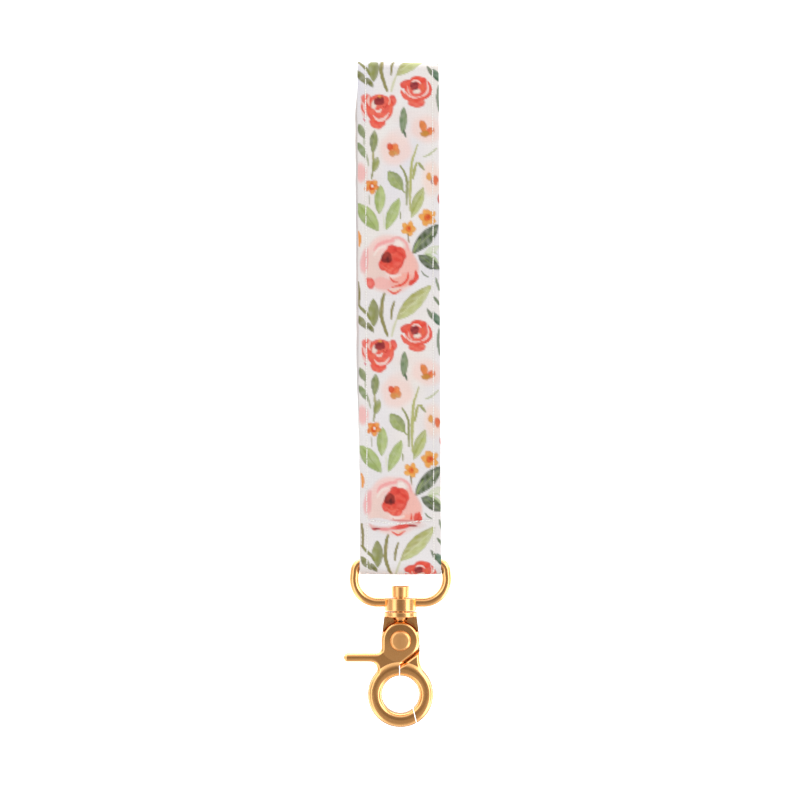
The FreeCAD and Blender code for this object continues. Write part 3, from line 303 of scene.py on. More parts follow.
    def rose_a(self):
        """Open rose on the right."""
        cx, cv = 5.0, 9.3
        self.blob(1.5, 7.2, 1.7, 1.35, -25, "EC5B48", wobble=0.1, shade="E24737")
        self.stroke([(0.3, 9.6), (1.3, 11.0), (3.0, 12.1), (5.2, 12.6)], 1.5, "EC5E49", taper=0.45)
        self.blob(5.0, 13.2, 2.7, 1.3, 5, "EE5543", wobble=0.1, shade="F0715A")
        self.blob(cx, cv - 0.6, 3.9, 3.7, 0, "E9503F", wobble=0.05, shade="EF6450")
        self.blob(5.7, 5.8, 2.4, 1.3, 10, "E8483A", wobble=0.08, shade="F2634E")
        # pale crescents between the petals
        self.stroke([(1.2, 9.2), (2.6, 10.9), (4.6, 11.5), (6.6, 11.0)], 0.55, "F6CFC6", taper=0.7)
        self.stroke([(8.3, 7.0), (8.6, 8.6), (7.9, 10.2), (6.4, 11.1)], 0.75, "F7D2CA", taper=0.7)
        self.stroke([(2.2, 8.0), (2.6, 9.9), (3.6, 10.8)], 0.5, "F4B9AC", taper=0.7)
        self.stroke([(3.3, 7.0), (4.1, 6.1), (5.5, 6.2), (6.3, 7.0)], 0.6, "F6D8CF", taper=0.6)
        self.blob(5.1, 9.5, 1.15, 0.75, -15, "F6E3D6", wobble=0.12, soft=0.2)
        self.blob(6.9, 8.2, 0.7, 1.3, -15, "EE6A4E", wobble=0.1)
        self.blob(4.3, 7.7, 1.45, 1.25, 0, "A23C3E", wobble=0.14, shade="7E2A34")
        self.blob(4.9, 7.1, 0.35, 0.3, 0, "8A2A30", rim=0)
        self.blob(3.5, 8.6, 0.4, 0.35, 0, "A8443E", rim=0)
        self.stroke([(8.5, 6.2), (9.3, 8.4), (8.8, 10.6), (6.9, 12.1)], 1.0, "E8503F", taper=0.6)

    def rose_b(self):
        """Open rose on the left, with the patch behind it."""
        self.blob(-10.9, 14.2, 1.5, 3.2, 8, "F6BCB4", alpha=0.75, wobble=0.1)
        self.blob(-10.6, 12.1, 1.6, 1.7, 20, "EC5B4A", alpha=0.9, wobble=0.12, shade="F3857A")
        self.stroke([(-12.0, 13.2), (-11.9, 15.0), (-11.0, 16.6)], 0.6, "E8604F", taper=0.7)
        self.stroke([(-11.6, 17.9), (-10.8, 19.0)], 0.5, "D9506A", taper=0.6, alpha=0.8)
        self.blob(-2.7, 12.6, 1.3, 2.0, 10, "E64B3C", wobble=0.1, shade="EE6552")
        self.blob(-6.5, 14.9, 4.1, 4.6, 0, "E94F3E", wobble=0.05, shade="F0664C")
        self.blob(-7.2, 19.3, 2.6, 1.6, 12, "EE5142", wobble=0.1, shade="F26A4E")
        self.stroke([(-9.6, 11.0), (-10.1, 12.6), (-9.7, 14.0)], 0.75, "F4C9BF", taper=0.6)
        self.stroke([(-3.9, 11.2), (-3.3, 12.4), (-3.7, 13.8)], 0.5, "F4B6A4", taper=0.7)
        self.stroke([(-8.4, 17.1), (-7.0, 18.4), (-5.0, 18.0), (-3.6, 16.2)], 0.95, "F6D3CA", taper=0.75)
        self.blob(-8.3, 13.8, 0.85, 1.25, 12, "F3DFD3", wobble=0.12)
        self.stroke([(-8.0, 15.2), (-6.9, 15.9), (-5.8, 15.0)], 0.8, "F4D6CC", taper=0.7)
        self.blob(-6.6, 12.6, 1.5, 1.5, 0, "9C3438", wobble=0.14, shade="82262E")
        self.blob(-6.5, 11.2, 0.55, 0.35, 10, "F2A04E", rim=0)
        self.stroke([(-5.6, 14.2), (-4.8, 14.6), (-4.2, 13.6)], 0.4, "C9342C", taper=0.6)

    def peony(self):
        """Large pale flower with a dark heart."""
        self.blob(-3.4, 63.4, 8.8, 8.6, 0, "F6CCC2", alpha=0.72, soft=0.9, wobble=0.07, rim=0.03)
        self.blob(-4.0, 58.3, 6.4, 4.2, -10, "F5CFC9", alpha=0.7, soft=0.8, wobble=0.08, rim=0)
        self.blob(1.4, 62.6, 3.7, 5.6, -18, "F7B7AA", alpha=0.75, soft=0.5, wobble=0.07, rim=0.06)
        self.blob(-7.4, 63.8, 3.2, 5.2, 12, "EFD2C8", alpha=0.75, soft=0.7, wobble=0.08, rim=0)
        self.blob(-11.2, 62.0, 1.3, 3.6, 10, "F6AFAF", alpha=0.8, soft=0.4, wobble=0.12, rim=0.05)
        self.stroke([(-10.2, 58.4), (-10.7, 61.0), (-10.4, 64.6)], 0.5, "EFA0A2", alpha=0.55, soft=0.3)
        self.blob(0.2, 68.0, 3.6, 2.2, -8, "F8AE9E", alpha=0.85, soft=0.35, wobble=0.07, rim=0.06)
        self.blob(-5.4, 68.9, 2.9, 2.0, 10, "F8B7B0", alpha=0.8, soft=0.4, wobble=0.1, rim=0.05)
        self.stroke([(-8.0, 58.6), (-7.0, 57.0), (-4.8, 56.0), (-2.2, 55.6)], 1.1, "F4A0A0",
                    alpha=0.85, soft=0.3)
        self.stroke([(-2.6, 54.9), (-0.6, 54.7), (1.5, 56.0), (2.5, 58.6)], 0.8, "F3A6A2",
                    alpha=0.85, soft=0.3)
        self.blob(-0.5, 56.7, 1.7, 1.1, 20, "F8EBE3", alpha=0.9, soft=0.3)
        self.stroke([(-8.2, 60.2), (-6.9, 58.2), (-4.8, 57.4)], 0.8, "F7E7DF", alpha=0.85, soft=0.25)
        self.stroke([(-4.2, 66.1), (-2.2, 66.8), (0.0, 66.2)], 0.9, "F8E2DA", alpha=0.85, soft=0.3)
        self.blob(-4.6, 62.9, 2.1, 2.3, 0, "E84A40", wobble=0.08, shade="EE5A4C")
        self.blob(-0.4, 59.9, 2.3, 2.2, 0, "E9493D", wobble=0.08, shade="F0604E")
        self.blob(-2.4, 61.3, 3.6, 3.9, 0, "E5483B", wobble=0.07, shade="EF6150")
        self.blob(-2.7, 58.3, 1.6, 1.3, 0, "DF4238", wobble=0.08, shade="E85446")
        self.blob(-2.9, 64.6, 2.4, 1.5, 10, "E84F41", wobble=0.08, shade="F26A55")
        self.stroke([(-1.6, 58.6), (0.4, 60.0), (0.9, 62.0), (-0.6, 63.9)], 0.35, "C83830",
                    alpha=0.6, soft=0.25)
        self.stroke([(-5.4, 63.6), (-3.6, 64.7), (-1.6, 64.0)], 0.3, "F28A78", alpha=0.7, soft=0.2)
        self.blob(-4.3, 60.9, 1.55, 1.9, 0, "A03A30", wobble=0.12, shade="7A2424")
        self.blob(-4.0, 61.6, 0.45, 1.0, 0, "4F1A1E", rim=0, alpha=0.7)
        self.stroke([(-3.4, 66.9), (-2.3, 68.2), (-0.4, 68.7)], 0.65, "E85C4E", taper=0.7)
        self.stroke([(2.3, 65.3), (2.2, 67.4), (0.6, 69.2), (-2.6, 70.1)], 0.8, "E8503F", taper=0.6)
        self.stroke([(4.7, 64.9), (4.9, 67.2), (3.5, 69.0)], 1.5, "E9503F", taper=0.75)
        self.blob(3.5, 68.6, 1.2, 0.75, -35, "E24A3C", wobble=0.1)
        self.blob(-9.4, 68.8, 1.2, 2.0, -22, "EB5A50", wobble=0.12, shade="F27A6E")
        self.stroke([(-3.9, 70.9), (-1.9, 72.0), (0.3, 70.7)], 0.75, "EA6453", taper=0.6)
        self.stroke([(-2.9, 70.6), (-1.6, 71.2), (-0.3, 70.6)], 0.4, "F9C9A8", taper=0.6)

    def all(self):
        """The whole repeat, back to front."""
        # washes
        self.blob(7.8, 21.0, 4.3, 4.2, 0, "F8D5CB", alpha=0.7, soft=1.2, rim=0)
        self.blob(-1.6, 27.4, 4.6, 5.0, 0, "F8D6CC", alpha=0.7, soft=1.3, rim=0)
        self.blob(9.8, 36.4, 3.2, 4.8, 0, "F8DDD0", alpha=0.8, soft=1.2, rim=0)
        self.blob(-12.3, 34.5, 1.8, 2.8, 0, "F6B8B4", alpha=0.85, soft=0.7, rim=0)
        self.blob(0.0, 23.0, 3.4, 2.2, 0, "F5DDD6", alpha=0.5, soft=1.2, rim=0)
        self.blob(3.0, 17.0, 5.0, 2.0, 0, "F4E0DA", alpha=0.4, soft=1.4, rim=0)
        # top group of stems and leaves, running over the fold
        self.stroke([(-13.3, -0.4), (-11.8, 1.4), (-10.3, 2.9), (-9.6, 4.4)], 1.0, "8A8A50")
        self.leaf(-8.4, 2.4, 8.8, 3.5, 90, "8F9548", "7C8038", side=-1)
        self.leaf(-12.0, 5.3, 5.6, 2.2, 55, "8A8C4C", "6E7038")
        self.leaf(-9.5, 6.9, 3.8, 1.7, 58, "86884A", "6C6E3A")
        self.stroke([(-5.0, -3.6), (-5.6, -1.5), (-6.0, 2.9), (-5.4, 6.0), (-4.2, 9.4)], 1.2, "8C8648")
        self.stroke([(-5.3, -0.5), (-5.7, 1.6)], 0.5, "B9A77A", alpha=0.6)
        self.stroke([(-1.9, -1.2), (-2.7, 1.4), (-3.0, 4.3)], 0.8, "8E8650")
        self.leaf(4.2, -0.9, 15.4, 4.8, -45, "C6CC8C", "A6A654", side=-1, vein="DDE0B4")
        self.stroke([(-1.3, 4.6), (-2.2, 6.9), (-2.9, 9.6)], 0.7, "C9CB9A", alpha=0.8, soft=0.25)
        self.leaf(9.2, 2.9, 4.4, 1.2, 62, "6F7F5C")
        self.leaf(11.2, 4.3, 5.2, 2.3, 60, "5C8262", "47684E")
        self.stroke([(11.9, 7.4), (11.6, 9.4), (11.5, 12.0), (12.0, 15.4)], 0.9, "83907A")
        self.stroke([(-13.2, 68.6), (-12.9, 72.0), (-13.0, 75.9)], 0.9, "8A8048")
        self.rose_a()
        self.rose_b()
        self.leaf(0.85, 18.5, 8.4, 2.5, 92, "829468", "688058", vein="98A886")
        self.stroke([(1.0, 21.6), (1.6, 23.2)], 0.8, "54694F")
        # orange blossoms
        self.blob(7.0, 20.2, 1.1, 1.9, -8, "E8833E", wobble=0.1, shade="DB7A34")
        self.blob(8.9, 21.8, 1.7, 1.2, -30, "E4683C", wobble=0.12, shade="E98A46")
        self.blob(7.5, 22.5, 1.4, 0.9, 10, "C98A3A", wobble=0.12)
        self.blob(-2.2, 27.4, 1.3, 1.3, 0, "EE8650", wobble=0.05)
        self.blob(-2.6, 28.5, 1.1, 0.95, 10, "D98F4C", wobble=0.06)
        self.blob(-1.2, 27.9, 1.1, 1.1, 20, "E08A52", wobble=0.06, shade="D9A05A")
        self.blob(-1.7, 26.4, 1.1, 1.1, 0, "F09050", wobble=0.06, shade="EC7A44")
        self.blob(-3.3, 26.4, 1.0, 1.05, -20, "E0562F", wobble=0.06)
        # left sprays
        self.leaf(-12.1, 21.8, 5.0, 2.1, 68, "87965A", "6A7A42")
        self.stroke([(-11.3, 24.2), (-11.3, 26.0)], 0.5, "9CA47C", alpha=0.7)
        self.leaf(-8.3, 24.9, 7.0, 2.6, 94, "8A9450", "6C7840", vein="A8B070")
        self.stroke([(-8.5, 28.0), (-8.4, 31.4)], 0.7, "A9A46C")
        self.leaf(-12.0, 27.6, 5.8, 2.1, 62, "8CA062", "70844A")
        self.stroke([(-10.6, 28.6), (-10.2, 30.4), (-9.9, 32.4)], 0.5, "96A070", alpha=0.8)
        self.leaf(-7.8, 32.0, 5.2, 2.3, 108, "A0A65C", "868E46")
        self.stroke([(-8.6, 34.0), (-9.0, 36.4)], 0.6, "8E9058")
        # sprigs on the right
        self.stroke([(7.2, 29.5), (9.2, 28.6), (11.3, 26.8)], 0.6, "B4BC88", alpha=0.85)
        self.stroke([(5.3, 25.7), (4.4, 28.4), (3.6, 30.9), (3.1, 36.8), (2.9, 46.2)], 0.95, "B4B56C",
                    taper=0.6)
        self.stroke([(0.0, 32.4), (1.2, 34.4), (2.0, 37.4), (1.9, 44.4)], 0.8, "8F9456")
        self.stroke([(3.9, 36.2), (4.5, 33.0), (5.0, 31.4)], 0.9, "A9AC62")
        self.leaf(6.5, 32.6, 3.0, 1.0, 48, "A3AA5E")
        self.stroke([(5.2, 31.3), (6.2, 31.4)], 0.5, "A9AC62")
        self.leaf(-1.5, 37.0, 7.6, 4.1, 52, "9CAC5E", "829046", side=-1, vein="B4BE78")
        self.stroke([(0.6, 40.0), (1.5, 40.8)], 0.5, "98A060")
        self.blob(8.8, 35.7, 0.85, 1.2, 10, "E4A24E", wobble=0.14)
        self.blob(10.9, 36.8, 0.85, 1.6, -12, "E4603A", wobble=0.12, shade="E87A44")
        self.stroke([(9.7, 36.2), (9.7, 38.0)], 0.4, "8A3A3E")
        self.leaf(12.0, 42.6, 3.4, 1.1, 92, "EF6E62")
        self.daisy(-8.9, 38.8, 2.3, "F2A84A", "E8702C", 15, ring="E88038", dot="F8EFE6")
        self.stroke([(-9.5, 38.8), (-9.2, 39.8), (-8.4, 39.6)], 0.45, "D9542A")
        self.stroke([(-9.8, 41.4), (-9.6, 44.4)], 0.4, "9A9A78", alpha=0.7)
        # pale green leaf group
        self.leaf(-6.4, 42.9, 9.2, 3.5, 93, "B7C87C", "98AA5C", vein="C4CE92")
        self.leaf(-10.0, 48.4, 10.8, 4.7, 52, "ADC072", "93A856", side=1, vein="8A9A4E")
        self.leaf(-2.5, 47.4, 10.8, 3.5, 113, "B5C77B", "9DB060", vein="A0B066")
        self.leaf(5.2, 43.8, 10.2, 3.4, 112, "BCC478", "A2AA5A", vein="98A055")
        self.stroke([(0.0, 46.8), (0.0, 48.8)], 0.45, "8A9050")
        self.stroke([(-5.4, 47.0), (-5.2, 49.6), (-5.0, 52.0)], 0.35, "D5DAB4", alpha=0.7)
        self.daisy(8.4, 48.4, 2.7, "F3AC4E", "E46A2E", 40, ring="EBA044", dot="D84E2A")
        self.stroke([(10.1, 50.4), (10.9, 49.4)], 0.6, "E6A84E")
        self.daisy(2.5, 51.9, 2.3, "F2B04E", "EC7A34", 5, ring="EFA447", dot="D9502A")
        self.stroke([(2.3, 53.7), (2.6, 56.2)], 0.5, "8C7A50")
        self.stroke([(-13.0, 52.9), (-12.6, 55.0), (-12.8, 57.2)], 1.0, "EE9A44", taper=0.5)
        # dark leaves
        self.leaf(9.6, 58.6, 5.8, 2.4, 150, "D6DFB4", "C8D4A4", alpha=0.6)
        self.leaf(7.6, 55.2, 12.4, 4.4, 132, "54663C", "44542E", side=1, vein="A9B97A")
        self.stroke([(4.2, 59.2), (4.9, 57.0), (6.2, 55.2)], 0.6, "9DB06C", alpha=0.75, soft=0.2)
        self.leaf(9.9, 61.1, 5.4, 1.8, 38, "B4C888", "9CB46C", alpha=0.85)
        self.leaf(8.9, 62.4, 8.2, 3.6, 33, "54663C", "44542E", side=1, vein="8DA063")
        self.stroke([(9.0, 59.2), (10.4, 59.2), (11.3, 59.8)], 0.5, "BCCB96", alpha=0.7)
        self.stroke([(6.6, 65.2), (7.4, 66.2), (8.6, 66.9)], 0.45, "6C7A58")
        self.stroke([(11.0, 67.4), (11.5, 69.2), (12.0, 71.0)], 0.8, "8A967A")
        self.stroke([(10.4, 73.2), (11.2, 74.2), (11.9, 75.4)], 0.9, "6E7F5C")
        self.peony()


def tuck_print_and_highlight(paint):
    """What the cross row's tuck shows of the print, with a painted highlight: pale patches on the fold, and
    slivers of red and pink print below it.
    """

    def patch(cx, cv, rx, rv, slope, colour, alpha, soft=0.25):
        """Soft oval whose length runs at a slope."""
        dx = paint.x - cx
        dv = paint.v - cv - slope * dx
        edge = (1 - np.hypot(dx / rx, dv / rv)) * min(rx, rv)
        paint.lay(smooth(edge, -soft, soft) * alpha, ink(colour))

    # pale patches: painted highlight on the fold of the tuck
    patch(-1.5, 144.6, 8.6, 1.7, 0.0, "EBD3CF", 0.9, 0.5)
    patch(-6.4, 143.7, 4.0, 1.25, 0.08, "F0ECEE", 0.95)
    patch(-2.2, 144.1, 2.0, 0.7, 0.05, "F4F1F2", 0.9)
    # slivers of the print below the fold
    patch(-7.3, 145.8, 1.5, 0.36, 0.0, "A3242C", 0.9, 0.15)
    patch(-5.0, 145.9, 1.7, 0.5, 0.02, "EE8E90", 0.85, 0.2)
    patch(0.1, 145.2, 3.0, 0.75, -0.14, "E24A3E", 0.95, 0.2)
    patch(-2.4, 145.6, 1.2, 0.4, -0.1, "F0807A", 0.8, 0.2)
    patch(3.7, 144.8, 1.5, 0.4, 0.05, "A82E2E", 0.9, 0.15)
    patch(4.9, 142.3, 0.8, 1.5, -0.2, "E24A3C", 0.9, 0.2)
    patch(0.3, 143.2, 3.0, 0.3, 0.02, "D9605A", 0.7, 0.15)


# ---------------------------------------------------------------- mesh helpers
def add_mesh(name, points, faces):
    """Smooth-shaded object from points in mm."""
    mesh = bpy.data.meshes.new(name)
    mesh.from_pydata((np.asarray(points) * 0.001).tolist(), [], faces)
    mesh.validate()
    mesh.update()
    mesh.polygons.foreach_set("use_smooth", [True] * len(mesh.polygons))
    obj = bpy.data.objects.new(name, mesh)
    bpy.context.scene.collection.objects.link(obj)
    return obj


def add_vectors(obj, name, data):
    """Named coordinates on the points, for the materials."""
    layer = obj.data.attributes.new(name, "FLOAT_VECTOR", "POINT")
    layer.data.foreach_set("vector", np.asarray(data, float).ravel())


def band_section():
    """Outline of the band cut across: x, height off its middle, and 1 outside to 0 inside."""
    outer_columns, inner_columns = 72, 30
    turn = 0.55
    flat_x = HALF_WIDE - turn
    flat_h = HALF_THICK - turn
    corner = [math.radians(a) for a in (22, 45, 68)]
    section = [(x, HALF_THICK, 1) for x in np.linspace(-flat_x, flat_x, outer_columns)]
    section += [(flat_x + turn * math.sin(a), flat_h + turn * math.cos(a), 1) for a in corner]
    section += [(HALF_WIDE, 0.0, 0.6)]
    section += [(flat_x + turn * math.cos(a), -flat_h - turn * math.sin(a), 0) for a in corner]
    right_edge = section[outer_columns:]
    section += [(x, -HALF_THICK, 0) for x in np.linspace(flat_x, -flat_x, inner_columns)]
    section += [(-x, -h, 1 - w) for x, h, w in right_edge]
    return np.array(section)


def print_place(run, back):
    """Print coordinate along the band: down the front, and on over the top fold down the back."""
    v = np.where(back, -run, run) - FOLD_LAG
    return v - 0.75 * smooth(v, 8, 30) + 0.5 * smooth(v, 80, 130)


def tint_back_edge(rgb, zone, depth):
    """Colours on the back layer's left edge, where it shows past the front one."""
    # first depth, last depth, colour
    tints = (
        (14, 19.5, "C9763A"),
        (33, 46, "D0523F"),
        (46, 56, "98905A"),
        (19.5, 33, "D09A82"),
        (56, 98, "E3CBB8"),
        (98, 115, "DE9A88"),
    )
    for first, last, colour in tints:
        mask = smooth(depth, first - 1, first + 1) * smooth(last + 1 - depth, 0, 2)
        mask = (mask * zone * 0.8)[:, None]
        rgb = rgb * (1 - mask) + ink(colour) * mask
    return rgb


def make_strap():
    """The folded band as one closed skin, finely divided so that it can carry the print."""
    section = band_section()
    rows = len(LINE)
    order = [(k, False) for k in range(rows)] + [(k, True) for k in range(rows - 2, 0, -1)]
    index = np.array([k for k, _ in order])
    back = np.array([b for _, b in order])[:, None]
    line = LINE[index]
    run = RUN[index][:, None]
    x, high, face = (section[:, k][None, :] for k in range(3))
    z = line[:, 1:2] + high * line[:, 3:4]
    lift = swell(np.broadcast_to(x, z.shape), run, z, back) * face
    edge = np.abs(x) > HALF_WIDE - 0.6
    side_shift = np.where(edge, 0.05 * waves(run, x, 9, 17), 0.0)
    top = high + lift
    side = np.where(back, -1.0, 1.0)
    py = (line[:, 0:1] + top * line[:, 2:3]) * side
    pz = line[:, 1:2] + top * line[:, 3:4]
    px = x + side_shift + lean(pz, back)
    points = np.stack([px, py, pz + droop(x, pz)], axis=-1)
    n, m = px.shape
    faces = []
    for i in range(n):
        j = (i + 1) % n
        for k in range(m):
            q = (k + 1) % m
            faces.append((i * m + k, i * m + q, j * m + q, j * m + k))
    obj = add_mesh("strap_cloth", points.reshape(-1, 3), faces)
    v = np.broadcast_to(print_place(run, back), px.shape)
    inner = np.broadcast_to(face < 0.5, v.shape)
    behind = np.broadcast_to(back, v.shape)
    tile_x = np.where(inner, -px, px)
    tile_v = np.where(inner, v + INNER_SHIFT, v)
    paint = Paint(tile_x.ravel(), tile_v.ravel())
    paint.all()
    front = ~behind & ~inner
    # the tuck's print and its painted fold highlight go on the front's outer face only
    plain = paint.rgb.copy()
    tuck_print_and_highlight(paint)
    rgb = np.where(front.ravel()[:, None], paint.rgb, plain)
    zone = behind & (x < -11.7) & ~inner
    rgb = tint_back_edge(rgb, zone.ravel(), (-pz).ravel())
    layer = obj.data.color_attributes.new("print", "FLOAT_COLOR", "POINT")
    rgba = np.concatenate([np.clip(rgb, 0, 1), np.ones((len(rgb), 1))], axis=1)
    layer.data.foreach_set("color", rgba.ravel())
    band = np.stack([np.broadcast_to(x + high, v.shape), v, 0 * v], axis=-1)
    add_vectors(obj, "band", band.reshape(-1, 3))
    return obj


def thread_run(points, radius):
    """Tube through the given points, closed at both ends, with twist coordinates."""
    points = np.asarray(points, float)
    count, sides = len(points), 8
    ahead = np.gradient(points, axis=0)
    ahead /= np.linalg.norm(ahead, axis=1)[:, None]
    up = np.array([0.3, 0.8, 0.52])
    first = np.cross(ahead, up)
    first /= np.linalg.norm(first, axis=1)[:, None]
    second = np.cross(ahead, first)
    along = np.concatenate([[0], np.cumsum(np.linalg.norm(np.diff(points, axis=0), axis=1))])
    rings, coords = [], []
    for k in range(count):
        for q in range(sides):
            a = 2 * math.pi * q / sides
            rings.append(points[k] + radius[k] * (first[k] * math.cos(a) + second[k] * math.sin(a)))
            coords.append((along[k], q / sides, 0))
    faces = []
    for k in range(count - 1):
        for q in range(sides):
            p = (q + 1) % sides
            faces.append((k * sides + q, k * sides + p, (k + 1) * sides + p, (k + 1) * sides + q))
    faces.append(tuple(range(sides - 1, -1, -1)))
    faces.append(tuple((count - 1) * sides + q for q in range(sides)))
    return rings, faces, coords


def join_threads(name, runs):
    """One object from many short threads, each a line of points with its radii."""
    points, faces, coords = [], [], []
    for line, radius in runs:
        p, f, c = thread_run(line, radius)
        base = len(points)
        points += p
        faces += [tuple(base + i for i in face) for face in f]
        coords += c
    obj = add_mesh(name, points, faces)
    add_vectors(obj, "twist", coords)
    return obj


def edge_stitches(name, side):
    """Lock stitches along one edge, on the front and the back."""
    runs = []
    t = np.linspace(0, 1, 9)
    for back in (False, True):
        start = 0.5 if not back else 1.2
        while start + STITCH < LENGTH - 0.4:
            s = start + (STITCH - 0.16) * t
            share = np.clip(1 - s / 160, 0, 1)
            row = side * EDGE_ROW + 0.3 * share
            slant = 0.11 * (t - 0.5) * (1 if back else -1)
            x = row + slant + 0.04 * math.sin(start * 1.7)
            z = np.interp(s, RUN, LINE[:, 1])
            base = HALF_THICK + swell(x, s, z, back)
            high = base + 0.15 * np.sin(math.pi * t) ** 0.6 - 0.08
            radius = 0.09 + 0.10 * np.sin(math.pi * t) ** 0.5
            runs.append((on_band(x, s, high, back), radius))
            start += STITCH
    return join_threads(name, runs)


def cross_stitches(name):
    """The row sewn across the band that closes it above the loop."""
    runs = []
    row_left = -9.7
    t = np.linspace(0, 1, 9)
    front_z = LINE[:, 1]
    for back in (False, True):
        for k in range(10):
            x = row_left + CROSS_STEP * (k + 0.06 + 0.88 * t)
            z = row_z(x) + 0.16 * (t - 0.5) + 0.03 * math.sin(3.1 * k)
            s = np.interp(-z, -front_z, RUN)
            base = HALF_THICK + swell(x, s, z, back)
            high = base + 0.24 * np.sin(math.pi * t) ** 0.6 - 0.10
            radius = 0.11 + 0.15 * np.sin(math.pi * t) ** 0.5
            runs.append((on_band(x, s, high, back), radius))
    return join_threads(name, runs)


# ---------------------------------------------------------------- materials
def material(name):
    """New material with its node tree and its main shader."""
    mat = bpy.data.materials.new(name)
    mat.use_nodes = True
    tree = mat.node_tree
    return mat, tree, tree.nodes["Principled BSDF"]


def attribute_node(tree, name):
    """Node that reads a named attribute of the mesh."""
    made = tree.nodes.new("ShaderNodeAttribute")
    made.attribute_name = name
    return made


def wire(tree, source, target):
    """Link from one socket to another."""
    tree.links.new(source, target)


def mix_colours(tree, amount, first, second, blend="MIX"):
    """Mix of two colour sockets or constants."""
    made = tree.nodes.new("ShaderNodeMix")
    made.data_type = "RGBA"
    made.blend_type = blend
    for socket, item in ((made.inputs[0], amount), (made.inputs[6], first), (made.inputs[7], second)):
        if isinstance(item, bpy.types.NodeSocket):
            wire(tree, item, socket)
        else:
            socket.default_value = item
    return made.outputs[2]


def math_node(tree, operation, first, second=0.0):
    """Result of a maths operation on sockets or numbers."""
    made = tree.nodes.new("ShaderNodeMath")
    made.operation = operation
    for socket, item in ((made.inputs[0], first), (made.inputs[1], second)):
        if isinstance(item, bpy.types.NodeSocket):
            wire(tree, item, socket)
        else:
            socket.default_value = item
    return made.outputs[0]


def ranged(tree, value, low, high, to_low, to_high):
    """Value moved from one range to another."""
    made = tree.nodes.new("ShaderNodeMapRange")
    wire(tree, value, made.inputs[0])
    for k, number in enumerate((low, high, to_low, to_high), start=1):
        made.inputs[k].default_value = number
    return made.outputs[0]


def printed_cotton():
    """Plain-woven cotton that takes its print from the mesh."""
    mat, tree, shader = material("printed_cotton_cloth")
    printed = attribute_node(tree, "print")
    place = attribute_node(tree, "band")
    threads = []
    for direction in ("X", "Y"):
        band = tree.nodes.new("ShaderNodeTexWave")
        band.bands_direction = direction
        band.inputs["Scale"].default_value = 0.7
        band.inputs["Distortion"].default_value = 0.6
        band.inputs["Detail"].default_value = 1.0
        band.inputs["Detail Scale"].default_value = 1.4
        wire(tree, place.outputs["Vector"], band.inputs["Vector"])
        threads.append(band.outputs["Fac"])
    weave = math_node(tree, "MULTIPLY", threads[0], threads[1])
    fuzz = tree.nodes.new("ShaderNodeTexNoise")
    fuzz.inputs["Scale"].default_value = 2.6
    fuzz.inputs["Detail"].default_value = 5.0
    wire(tree, place.outputs["Vector"], fuzz.inputs["Vector"])
    slow = tree.nodes.new("ShaderNodeTexNoise")
    slow.inputs["Scale"].default_value = 0.12
    slow.inputs["Detail"].default_value = 2.0
    wire(tree, place.outputs["Vector"], slow.inputs["Vector"])
    dim = ranged(tree, weave, 0.0, 0.7, 0.93, 1.02)
    dust = ranged(tree, fuzz.outputs["Fac"], 0.3, 0.7, 0.95, 1.03)
    fade = ranged(tree, slow.outputs["Fac"], 0.3, 0.7, 0.975, 1.02)
    total = math_node(tree, "MULTIPLY", math_node(tree, "MULTIPLY", dim, dust), fade)
    grey = tree.nodes.new("ShaderNodeCombineColor")
    for k in range(3):
        wire(tree, total, grey.inputs[k])
    colour = mix_colours(tree, 1.0, printed.outputs["Color"], grey.outputs[0], "MULTIPLY")
    wire(tree, colour, shader.inputs["Base Color"])
    rough = ranged(tree, fuzz.outputs["Fac"], 0.2, 0.8, 0.78, 0.92)
    wire(tree, rough, shader.inputs["Roughness"])
    shader.inputs["Sheen Weight"].default_value = 0.12
    shader.inputs["Sheen Roughness"].default_value = 0.45
    shader.inputs["Specular IOR Level"].default_value = 0.25
    height = math_node(tree, "ADD", weave, math_node(tree, "MULTIPLY", fuzz.outputs["Fac"], 0.5))
    bump = tree.nodes.new("ShaderNodeBump")
    bump.inputs["Strength"].default_value = 0.35
    bump.inputs["Distance"].default_value = 0.00006
    wire(tree, height, bump.inputs["Height"])
    wire(tree, bump.outputs["Normal"], shader.inputs["Normal"])
    return mat


def thread_material():
    """White twisted sewing thread."""
    mat, tree, shader = material("white_sewing_thread")
    place = attribute_node(tree, "twist")
    mapping = tree.nodes.new("ShaderNodeMapping")
    mapping.inputs["Scale"].default_value = (1.0, 0.42, 1.0)
    wire(tree, place.outputs["Vector"], mapping.inputs["Vector"])
    ply = tree.nodes.new("ShaderNodeTexWave")
    ply.bands_direction = "DIAGONAL"
    ply.inputs["Scale"].default_value = 0.75
    ply.inputs["Distortion"].default_value = 0.3
    wire(tree, mapping.outputs["Vector"], ply.inputs["Vector"])
    lint = tree.nodes.new("ShaderNodeTexNoise")
    lint.inputs["Scale"].default_value = 900.0
    lint.inputs["Detail"].default_value = 3.0
    coords = tree.nodes.new("ShaderNodeTexCoord")
    wire(tree, coords.outputs["Object"], lint.inputs["Vector"])
    shade = math_node(tree, "ADD", ply.outputs["Fac"], math_node(tree, "MULTIPLY", lint.outputs["Fac"], 0.4))
    light = ranged(tree, shade, 0.2, 1.2, 0.0, 1.0)
    colour = mix_colours(tree, light, (0.80, 0.77, 0.72, 1), (0.97, 0.95, 0.92, 1))
    wire(tree, colour, shader.inputs["Base Color"])
    wire(tree, ranged(tree, shade, 0.0, 1.3, 0.62, 0.5), shader.inputs["Roughness"])
    shader.inputs["Sheen Weight"].default_value = 0.3
    bump = tree.nodes.new("ShaderNodeBump")
    bump.inputs["Strength"].default_value = 0.5
    bump.inputs["Distance"].default_value = 0.00005
    wire(tree, shade, bump.inputs["Height"])
    wire(tree, bump.outputs["Normal"], shader.inputs["Normal"])
    return mat


